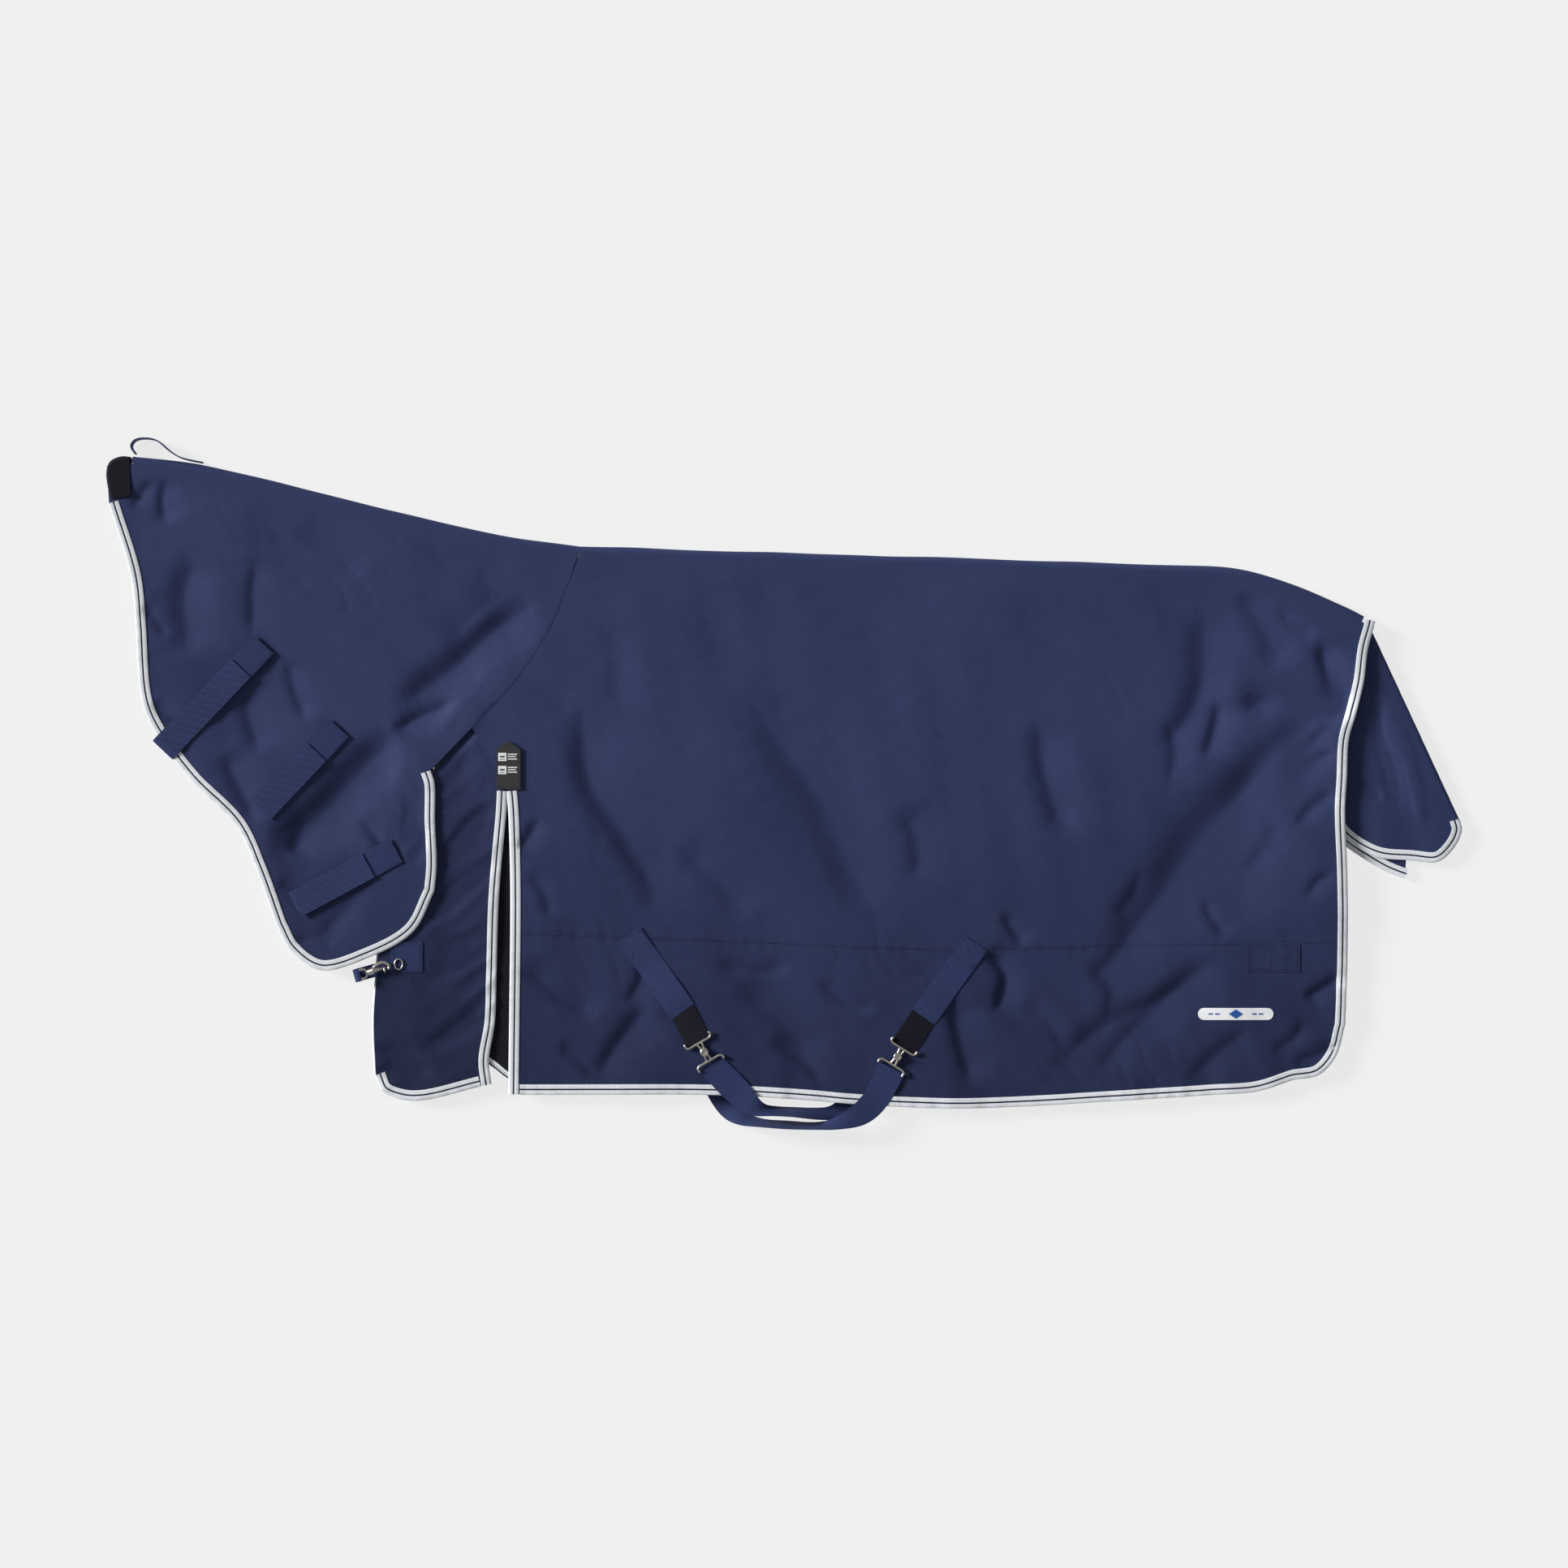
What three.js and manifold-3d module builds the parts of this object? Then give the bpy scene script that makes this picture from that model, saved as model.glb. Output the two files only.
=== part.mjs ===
// Turnout rug with a sewn-on neck cover, folded in half along spine and crest and laid
// on its far side. Millimetres, +X to the tail, +Y to the spine, +Z up, origin under the
// middle of the whole rug, on the surface that it lies on.
import * as THREE from 'three';
import { mergeVertices } from 'three/addons/utils/BufferGeometryUtils.js';
import Module from 'manifold-3d';

const wasm = await Module();
wasm.setup();

// ---- driving dimensions --------------------------------------------------------------
const clothThick = 1.0;          // one layer of shell or lining
const tapeThick = 0.9;           // binding tape, also the flat webbing on the far side
const tapeWidth = 19;            // how far the binding covers each face
const gap = 0.3;                 // between neighbouring pieces
const webWidth = 50;             // belly and neck webbing
const webThick = 1.3;
const foldDepth = 12;            // how far the rounded fold stands out past the panels
const foldHeight = 26.4;         // outer height of the fold, floor to top
const foldWall = 1.4;
const wireRound = 2.0;           // radius of the clip and ring wire

// Bottom of each bound edge: two layers of cloth inside one binding.
const base = { farOuter: 1.2, farChest: 6.2, nearChest: 17.6, nearOuter: 22.6 };
const slotIn = tapeThick + gap;
const layerStep = clothThick + gap;
const doubleSlot = 2 * clothThick + 3 * gap;
const singleSlot = clothThick + 2 * gap;
const lowerLayer = (level) => level + slotIn;
const upperLayer = (level) => level + slotIn + layerStep;
const nearTop = upperLayer(base.nearOuter) + clothThick;
const patchLow = nearTop + gap;
const overBinding = base.nearOuter + doubleSlot + 2 * tapeThick + gap;

// ---- edges of the rug, each with its cloth on the left of the direction of travel -----
const crest = [[-1200, 600], [-1073, 586], [-804, 522], [-536, 459], [-376, 436]];
const spine = [[-374, 436], [-98, 427], [645, 403], [851, 391], [1022, 327], [1058, 309]];
const neckFront = [[-1236, 514], [-1195, 379], [-1186, 292], [-1174, 152], [-1149, 94],
  [-1087, 10], [-1003, -75], [-966, -154], [-929, -258]];
const neckToe = [[-929, -258], [-904, -304], [-849, -340], [-764, -318], [-680, -270],
  [-641, -196]];
const neckFlap = [[-641, -196], [-637, -150], [-640, -68], [-641, 3], [-648, 25]];
const neckSeam = [[-648, 25], [-626, 47], [-556, 120], [-496, 184], [-430, 285], [-394, 370]];
const chestFront = [[-600, 82], [-668, -20], [-712, -140], [-738, -260], [-747, -357],
  [-752, -440], [-748, -534]];
const chestHem = [[-748, -534], [-735, -562], [-700, -577], [-660, -578], [-556, -553]];
const slitFront = [[-537, -550], [-542, -508], [-531, -437], [-528, -348], [-523, -199],
  [-510, -50], [-508, -13]];
const slitRear = [[-507, -13], [-504, -50], [-500, -199], [-503, -496], [-504, -568]];
const hem = [[-484, -568], [-113, -569], [34, -577], [138, -586], [337, -593], [645, -577],
  [787, -568], [866, -562], [933, -541]];
const hemCorner = [[933, -541], [980, -532], [1012, -496], [1027, -442]];
const rear = [[1027, -442], [1031, -321], [1030, -169], [1026, -50], [1029, 9], [1033, 83],
  [1046, 128], [1060, 187], [1068, 247], [1079, 287]];
const bodySeam = [[-498, -274], [-132, -287], [294, -303], [645, -296], [1029, -290]];
const tailNearEdge = [[1001, -64], [1029, -99], [1086, -132], [1150, -139], [1200, -141],
  [1231, -112], [1242, -84], [1238, -64]];
const tailFarEdge = [[1001, -87], [1029, -112], [1069, -139], [1106, -160], [1139, -173]];

// ---- colours --------------------------------------------------------------------------
const finish = {
  shell: [0x2c345a, 0.62, 0],
  lining: [0x14141c, 0.85, 0],
  tape: [0xdfe6ee, 0.7, 0],
  webbing: [0x262e58, 0.75, 0],
  elastic: [0x17161f, 0.85, 0],
  rubber: [0x3a3a3a, 0.6, 0],
  badge: [0xf0f2f5, 0.6, 0],
  metal: [0xc4beb0, 0.3, 1],
};

// ---- shared shapes --------------------------------------------------------------------
const flat = (points) => points.map(([x, y]) => new THREE.Vector2(x, y));

// A smooth line through the points, cut into equal steps.
function curve(points, steps) {
  const knots = points.map(([x, y]) => new THREE.Vector3(x, y, 0));
  const path = new THREE.CatmullRomCurve3(knots, false, 'centripetal');
  return path.getSpacedPoints(steps).map((p) => [p.x, p.y]);
}

// Unit vector to the left of the line at each of its points, longer at a corner.
function leftNormals(points) {
  const side = points.slice(1).map(([x, y], i) => {
    const length = Math.hypot(x - points[i][0], y - points[i][1]);
    return [(points[i][1] - y) / length, (x - points[i][0]) / length];
  });
  return points.map((point, i) => {
    const before = side[Math.max(i - 1, 0)];
    const after = side[Math.min(i, side.length - 1)];
    const sum = [before[0] + after[0], before[1] + after[1]];
    const square = sum[0] * sum[0] + sum[1] * sum[1];
    return [2 * sum[0] / square, 2 * sum[1] / square];
  });
}

function offset(points, distance) {
  const normals = leftNormals(points);
  return points.map(([x, y], i) => [x + normals[i][0] * distance, y + normals[i][1] * distance]);
}

// A flat sheet of cloth: closed outline, underside height, thickness.
function plate(points, low, thickness) {
  const shape = new THREE.Shape(flat(points));
  const solid = new THREE.ExtrudeGeometry(shape, { depth: thickness, bevelEnabled: false });
  return solid.translate(0, 0, low);
}

function signedVolume(position, index) {
  const corner = (i) => new THREE.Vector3().fromArray(position, 3 * i);
  let sum = 0;
  for (let i = 0; i < index.length; i += 3) {
    const [a, b, c] = [corner(index[i]), corner(index[i + 1]), corner(index[i + 2])];
    sum += a.dot(b.cross(c));
  }
  return sum;
}

// Closed skin over a row of rings; a loop joins the last ring to the first.
function loft(rings, capFaces, isLoop = false) {
  const count = rings[0].length;
  const position = rings.flat().flatMap((p) => [p.x, p.y, p.z]);
  const index = [];
  const spans = isLoop ? rings.length : rings.length - 1;
  for (let r = 0; r < spans; r++) {
    const next = ((r + 1) % rings.length) * count;
    for (let k = 0; k < count; k++) {
      const a = r * count + k;
      const b = r * count + (k + 1) % count;
      index.push(a, b, next + k, b, next + (k + 1) % count, next + k);
    }
  }
  const last = (rings.length - 1) * count;
  for (const [a, b, c] of isLoop ? [] : capFaces) {
    index.push(c, b, a, last + a, last + b, last + c);
  }
  if (signedVolume(position, index) < 0) index.reverse();
  const solid = new THREE.BufferGeometry();
  solid.setAttribute('position', new THREE.Float32BufferAttribute(position, 3));
  solid.setIndex(index);
  return solid;
}

// A section of [distance to the left, height] points carried along a flat path.
function sweep(path, section) {
  const normals = leftNormals(path);
  const rings = path.map(([x, y], i) => section.map(([d, z]) => (
    new THREE.Vector3(x + normals[i][0] * d, y + normals[i][1] * d, z))));
  return loft(rings, THREE.ShapeUtils.triangulateShape(flat(section), []));
}

// Binding tape folded over an edge, open towards the cloth.
function binding(path, low, slot, width = tapeWidth) {
  const high = low + slot + 2 * tapeThick;
  const outer = -slotIn;
  const inner = width - slotIn;
  return sweep(path, [[outer, low], [inner, low], [inner, low + tapeThick],
    [-gap, low + tapeThick], [-gap, high - tapeThick], [inner, high - tapeThick],
    [inner, high], [outer, high]]);
}

// Webbing between two rails: equal lists of [x, y, z] points, one for each edge.
function ribbon(leftRail, rightRail, steps, thickness = webThick) {
  const rail = (points) => new THREE.CatmullRomCurve3(
    points.map((p) => new THREE.Vector3(...p)), false, 'centripetal');
  const [left, right] = [rail(leftRail), rail(rightRail)];
  const rings = [];
  for (let i = 0; i <= steps; i++) {
    const a = left.getPoint(i / steps);
    const b = right.getPoint(i / steps);
    const run = left.getTangent(i / steps).add(right.getTangent(i / steps));
    const lift = run.cross(b.clone().sub(a)).setLength(thickness / 2);
    const ring = [a.clone().add(lift), b.clone().add(lift), b.sub(lift), a.sub(lift)];
    rings.push(ring.map((p) => p.setZ(Math.max(p.z, 0))));
  }
  return loft(rings, [[0, 1, 2], [0, 2, 3]]);
}

// Round wire or rod along [x, y, z] points.
function rod(points, radius, steps, sides, isLoop = false) {
  const knots = points.map((p) => new THREE.Vector3(...p));
  const path = new THREE.CatmullRomCurve3(knots, isLoop, 'centripetal');
  const { normals, binormals } = path.computeFrenetFrames(steps, isLoop);
  const rings = [];
  for (let i = 0; i < (isLoop ? steps : steps + 1); i++) {
    const centre = path.getPointAt(i / steps);
    rings.push(Array.from({ length: sides }, (unused, k) => {
      const turn = 2 * Math.PI * k / sides;
      return centre.clone()
        .addScaledVector(normals[i], radius * Math.cos(turn))
        .addScaledVector(binormals[i], radius * Math.sin(turn));
    }));
  }
  const cap = Array.from({ length: sides - 2 }, (unused, k) => [0, k + 1, k + 2]);
  return loft(rings, cap, isLoop);
}

// Solid of revolution about X from a [x, radius] profile.
function turned(profile, segments) {
  const points = profile.map(([x, radius]) => new THREE.Vector2(radius, x));
  return new THREE.LatheGeometry(points, segments).rotateZ(-Math.PI / 2);
}

function toManifold(geometry) {
  const bare = geometry.clone();
  bare.deleteAttribute('normal');
  bare.deleteAttribute('uv');
  const merged = mergeVertices(bare, 1e-4);
  return new wasm.Manifold(new wasm.Mesh({
    numProp: 3,
    vertProperties: new Float32Array(merged.attributes.position.array),
    triVerts: new Uint32Array(merged.index.array),
  }));
}

function fromManifold(solid) {
  const mesh = solid.getMesh();
  const geometry = new THREE.BufferGeometry();
  geometry.setAttribute('position', new THREE.BufferAttribute(mesh.vertProperties, 3));
  geometry.setIndex(new THREE.BufferAttribute(mesh.triVerts, 1));
  return geometry;
}

const join = (...pieces) => fromManifold(pieces.map(toManifold).reduce((a, b) => a.add(b)));
const cut = (piece, tool) => fromManifold(toManifold(piece).subtract(toManifold(tool)));

// ---- the assembly ---------------------------------------------------------------------
const rug = new THREE.Group();

function add(name, geometry, [color, roughness, metalness]) {
  const material = new THREE.MeshStandardMaterial({ color, roughness, metalness });
  const mesh = new THREE.Mesh(geometry, material);
  mesh.name = name;
  rug.add(mesh);
  return mesh;
}

// Panel outlines. The fold stands past the panels, so they stop foldDepth short of it.
const foldInset = foldDepth + gap;
const innerSpine = curve(spine, 12).map(([x, y]) => [x, y - foldInset]);
const innerCrest = curve(crest, 10).map(([x, y]) => [x, y - foldInset]);
const cornerEdge = curve(hemCorner, 8);
const tailEdge = curve(rear, 16);
const rearEdge = [...cornerEdge.slice(1), ...tailEdge.slice(1)];
const seamSteps = curve(bodySeam, 8);
const neckEdge = [...curve(neckFront, 14), ...curve(neckToe, 12).slice(1),
  ...curve(neckFlap, 5).slice(1)];
const hemEdge = curve(hem, 12);
const slitRearEdge = curve(slitRear, 6);
const slitFrontEdge = curve(slitFront, 10);
const chestHemEdge = curve(chestHem, 8);
const chestFrontEdge = curve(chestFront, 9);

const aboveSeam = ([, y]) => y > -290;
const neckSeamLine = curve(neckSeam, 8);
const clearOfNeck = offset(neckSeamLine, -gap - 0.5);

function backOutline() {
  const rearAbove = rearEdge.filter(aboveSeam);
  const slitAbove = slitRearEdge.filter(([, y]) => y > -274);
  return [...slitAbove, ...seamSteps, ...rearAbove, ...innerSpine.toReversed(),
    ...clearOfNeck.slice(2).toReversed()];
}

function skirtOutline() {
  const rearBelow = rearEdge.filter(([, y]) => y < -292);
  const seamBelow = seamSteps.map(([x, y]) => [x, y - 2 * gap]);
  const slitBelow = slitRearEdge.filter(([, y]) => y < -276);
  return [...slitBelow, ...hemEdge, ...rearBelow, ...seamBelow.toReversed()];
}

function bodyOutline() {
  return [...slitRearEdge, ...hemEdge, ...rearEdge, ...innerSpine.toReversed(),
    ...clearOfNeck.slice(2).toReversed()];
}

function chestOutline() {
  return [...chestFrontEdge, ...chestHemEdge.slice(1), ...slitFrontEdge, [-520, 70]];
}

function neckOutline() {
  const seamUp = neckSeamLine.slice(1);
  const pollEdge = [[-1199, 586], [-1222, 584], [-1237, 572], [-1238, 545]];
  return [...neckEdge, ...seamUp, ...innerCrest.toReversed(), ...pollEdge];
}

function addPanels() {
  const chest = chestOutline();
  const neck = neckOutline();
  const body = bodyOutline();
  const { farOuter, farChest, nearChest, nearOuter } = base;
  add('near_back_panel', plate(backOutline(), upperLayer(nearOuter), clothThick), finish.shell);
  add('near_skirt_panel', plate(skirtOutline(), upperLayer(nearOuter), clothThick),
    finish.shell);
  add('near_chest_panel', plate(chest, upperLayer(nearChest), clothThick), finish.shell);
  add('near_neck_panel', plate(neck, upperLayer(nearOuter), clothThick), finish.shell);
  add('near_body_lining', plate(body, lowerLayer(nearOuter), clothThick), finish.lining);
  add('near_chest_lining', plate(chest, lowerLayer(nearChest), clothThick), finish.lining);
  add('near_neck_lining', plate(neck, lowerLayer(nearOuter), clothThick), finish.lining);
  add('far_body_panel', plate(body, lowerLayer(farOuter), clothThick), finish.shell);
  add('far_chest_panel', plate(chest, lowerLayer(farChest), clothThick), finish.shell);
  add('far_neck_panel', plate(neck, lowerLayer(farOuter), clothThick), finish.shell);
  add('far_body_lining', plate(body, upperLayer(farOuter), clothThick), finish.lining);
  add('far_neck_lining', plate(neck, upperLayer(farOuter), clothThick), finish.lining);
}

function addBindings() {
  const { farOuter, nearChest, nearOuter } = base;
  const hemPath = [...hemEdge, ...cornerEdge.slice(1)];
  const rearPath = [[tailEdge[0][0], tailEdge[0][1] + 4], ...tailEdge.slice(1)];
  const tape = (name, path, level) => add(name, binding(path, level, doubleSlot), finish.tape);
  tape('near_hem_binding', hemPath, nearOuter);
  tape('near_rear_binding', rearPath, nearOuter);
  tape('near_slit_rear_binding', slitRearEdge, nearOuter);
  tape('near_slit_front_binding', slitFrontEdge, nearChest);
  tape('near_chest_binding', chestHemEdge, nearChest);
  tape('near_neck_binding', neckEdge, nearOuter);
  tape('far_hem_binding', [...hemPath, ...rearPath.slice(1)], farOuter);
  tape('far_neck_binding', neckEdge, farOuter);
}

// Gussets bridge the shoulder slits on the inside; the near one has its own bound hem.
function addGussets() {
  const nearLow = 14.9;
  const farLow = 11.3;
  const hemLine = [[-560, -500], [-536, -517], [-504, -541], [-470, -548]];
  const outline = [...hemLine, [-490, -18], [-524, -18]];
  add('near_gusset', plate(outline, nearLow, clothThick), finish.lining);
  add('far_gusset', plate(outline, farLow, clothThick), finish.lining);
  add('near_gusset_binding', binding(hemLine, nearLow - slotIn, singleSlot, 12), finish.tape);
}

// Rounded fold that joins the near and far halves, a half ellipse with a thin wall.
function foldSection(depth, height, wall) {
  const arc = (a, b) => Array.from({ length: 7 }, (unused, k) => {
    const turn = Math.PI * (k / 6 - 0.5);
    return [-a * Math.cos(turn), height / 2 + b * Math.sin(turn)];
  });
  return [...arc(depth, height / 2).toReversed(), ...arc(depth - wall, height / 2 - wall)];
}

function addFolds() {
  const section = foldSection(foldDepth, foldHeight, foldWall);
  const crestPath = curve([[-1195, 600], ...crest.slice(1)], 10);
  const topEdge = [...crestPath, ...curve(spine, 12).slice(1)];
  const path = topEdge.map(([x, y]) => [x, y - foldDepth]).toReversed();
  add('spine_fold', sweep(path, section), finish.shell);
}

// Stretch cap over the front corner of the poll, open to the rear and below.
function addPoll() {
  const wall = 1.2;
  const capHeight = foldHeight + 1;
  const corner = [[-1243, 572], [-1236, 592], [-1216, 601]];
  const outline = [[-1236.2, 521], ...curve(corner, 6), [-1197.7, 600], [-1196, 527]];
  const room = [[-1236, 500], [-1241.6, 572], [-1234.8, 591], [-1215.6, 599.4],
    [-1180, 598.4], [-1180, 500]];
  const block = plate(outline, 0, capHeight);
  add('poll_cap', cut(block, plate(room, wall, capHeight - 2 * wall)), finish.elastic);
  const path = [[-1188, 604], [-1197, 619], [-1190, 630], [-1174, 633.8], [-1150, 630],
    [-1128, 612], [-1110, 600], [-1088, 593.5], [-1064, 589]];
  const [low, high] = [2, 24];
  const rail = (height) => path.map(([x, y]) => [x, y, height]);
  add('poll_loop', ribbon(rail(low), rail(high), 26, 1.2), finish.webbing);
}

// Tail flap, folded along its own middle and tucked between the two halves.
function addTailFlap() {
  const layers = [
    ['near', curve(tailNearEdge, 16), 13.4],
    ['far', curve(tailFarEdge, 7), 8.2],
  ];
  for (const [side, edge, low] of layers) {
    const toFold = side === 'far' ? [[1143, -120], [1226, -62]] : [];
    const outline = [...edge, ...toFold, [1078, 281], [1044, 266], [1000, 40]];
    add(`tail_flap_${side}`, plate(outline, low + slotIn, clothThick), finish.shell);
    add(`tail_flap_${side}_binding`, binding(edge, low, singleSlot), finish.tape);
  }
}

// Flat webbing from one [x, y] to another.
function flatStrap([x0, y0], [x1, y1], low, width = webWidth, thickness = webThick) {
  const length = Math.hypot(x1 - x0, y1 - y0);
  const solid = new THREE.BoxGeometry(length, width, thickness);
  solid.rotateZ(Math.atan2(y1 - y0, x1 - x0));
  return solid.translate((x0 + x1) / 2, (y0 + y1) / 2, low + thickness / 2);
}

// Neck strap: a sewn anchor, then webbing doubled back on itself that lifts at the anchor.
const neckStraps = {
  front: { seam: [-953, 256], end: [-1137, 62], sewn: 42 },
  middle: { seam: [-815, 103], end: [-957, -48], sewn: 42 },
  rear: { seam: [-710, -121], end: [-895, -221], sewn: 42 },
};

function addNeckStraps() {
  const low = overBinding;
  for (const [name, { seam, end, sewn }] of Object.entries(neckStraps)) {
    const length = Math.hypot(end[0] - seam[0], end[1] - seam[1]);
    const turn = Math.atan2(end[1] - seam[1], end[0] - seam[0]);
    const place = (solid) => solid.rotateZ(turn).translate(seam[0], seam[1], low);
    const anchor = new THREE.BoxGeometry(sewn, webWidth, webThick);
    anchor.translate(sewn / 2, 0, webThick / 2);
    add(`neck_strap_${name}_anchor`, place(anchor), finish.webbing);
    const start = sewn + 0.6;
    const back = start + 16;
    const rise = 2.6;
    const side = [[start, 0], [length - 3, 0], [length, rise / 2 + webThick / 2],
      [length - 3, rise + webThick], [back, rise + webThick], [back, rise],
      [length - 4, rise], [length - 2, rise / 2 + webThick / 2], [length - 4, webThick],
      [start, webThick]];
    const strap = new THREE.ExtrudeGeometry(new THREE.Shape(flat(side)),
      { depth: webWidth, bevelEnabled: false });
    strap.rotateX(Math.PI / 2).translate(0, webWidth / 2, 0);
    add(`neck_strap_${name}`, place(strap), finish.webbing);
  }
}

// Half of a surcingle clip: a bar with curled ends, two prongs and a round head.
function clipHalf(headRise) {
  const half = webWidth / 2 - 1;
  const bar = rod([[-half - 1, 10, 0], [-half - 2, 4, 0], [-half + 4, 0, 0], [half - 4, 0, 0],
    [half + 2, 4, 0], [half + 1, 10, 0]], wireRound, 16, 8);
  const prong = (x) => rod([[x, 0, 0], [x * 0.8, -7, headRise * 0.4],
    [x * 0.6, -14, headRise]], wireRound * 0.75, 4, 8);
  const head = new THREE.CylinderGeometry(7, 7, 2.6, 14).rotateX(Math.PI / 2);
  head.translate(0, -17, headRise);
  return join(bar, prong(-4), prong(4), head);
}

function addBellyStraps() {
  const clipHeight = nearTop + 5;
  const hookRise = 4.2;
  const near = {
    front: { top: [-284, -276], join: [-185, -416], clip: [-157, -471.5], low: [-138, -504.5] },
    rear: { top: [351, -292], join: [255, -426], clip: [218.5, -482], low: [200, -512] },
  };
  for (const [name, at] of Object.entries(near)) {
    const down = new THREE.Vector2(at.join[0] - at.top[0], at.join[1] - at.top[1]).normalize();
    const short = (point, by) => [point[0] - down.x * by, point[1] - down.y * by];
    const low = patchLow;
    add(`belly_strap_${name}_webbing`, flatStrap(at.top, at.join, low), finish.webbing);
    const elasticStart = short(at.join, -6);
    const elasticEnd = short(at.clip, 1);
    add(`belly_strap_${name}_elastic`, flatStrap(elasticStart, elasticEnd, low, webWidth - 2),
      finish.elastic);
    const turn = Math.atan2(at.low[1] - at.clip[1], at.low[0] - at.clip[0]) + Math.PI / 2;
    const plateHalf = clipHalf(0).rotateZ(turn);
    plateHalf.translate(at.clip[0] + down.x * 3, at.clip[1] + down.y * 3, clipHeight);
    add(`belly_clip_${name}_plate`, plateHalf, finish.metal);
    const hookHalf = clipHalf(hookRise).rotateZ(turn + Math.PI);
    hookHalf.translate(at.low[0] + down.x * 2, at.low[1] + down.y * 2, clipHeight + 0.4);
    add(`belly_clip_${name}_hook`, hookHalf, finish.metal);
  }
}

// Free run of each crossed belly strap, from its clip to its anchor under the far half:
// flat over the hem, on edge outside it, then flat again underneath. Each row holds one
// [x, y, z] on the edge nearer the rug and one on the other edge.
const crossRuns = {
  front: [
    [[-115, -498, 28.2], [-158, -522, 28.2]],
    [[-84, -528, 28.4], [-122, -562, 28.4]],
    [[-62, -552, 29.2], [-94, -588, 28.6]],
    [[-38, -584, 29], [-62, -606, 34]],
    [[-10, -592, 8], [-20, -606, 46]],
    [[22, -594, 1], [18, -608, 46]],
    [[52, -595, 0.7], [56, -614, 28]],
    [[84, -592, 0.5], [96, -616, 8]],
    [[108, -572, 0.45], [130, -608, 0.6]],
    [[130, -548, 0.45], [164, -584, 0.45]],
    [[158, -512, 0.45], [196, -544, 0.45]],
    [[233, -414, 0.45], [274, -443, 0.45]],
  ],
  rear: [
    [[176.5, -506, 28.2], [221, -530, 28.2]],
    [[157, -545, 28.6], [200, -570, 28.6]],
    [[142, -572, 30], [178, -602, 29]],
    [[118, -594, 33], [146, -624, 33]],
    [[86, -614, 26], [100, -631, 42]],
    [[56, -621, 8], [54, -631, 46]],
    [[10, -619, 1], [4, -630, 46]],
    [[-40, -615, 1], [-46, -626, 46]],
    [[-66, -604, 0.7], [-84, -624, 22]],
    [[-84, -580, 0.45], [-112, -612, 2]],
    [[-98, -548, 0.45], [-140, -574, 0.45]],
    [[-162, -404, 0.45], [-203, -433, 0.45]],
  ],
};

const crossRings = 120;     // steps along each run, close enough that its twist keeps its thickness

function addCrossStraps() {
  for (const [name, rows] of Object.entries(crossRuns)) {
    const [near, away] = [0, 1].map((edge) => rows.map((row) => row[edge]));
    add(`belly_strap_${name}_run`, ribbon(near, away, crossRings, tapeThick), finish.webbing);
  }
  const anchor = (from, to) => flatStrap(from, to, 0, webWidth, tapeThick);
  add('far_anchor_front', anchor([-283, -276], [-183, -417]), finish.webbing);
  add('far_anchor_rear', anchor([350, -292], [254, -427]), finish.webbing);
}

// Chest closure: a webbing tab from the far side, a swivel snap with a sprung bolt, and the
// patch and ring that it fastens to.
const snap = { eye: [-766, -346, 30], turn: 0.27 };

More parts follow.
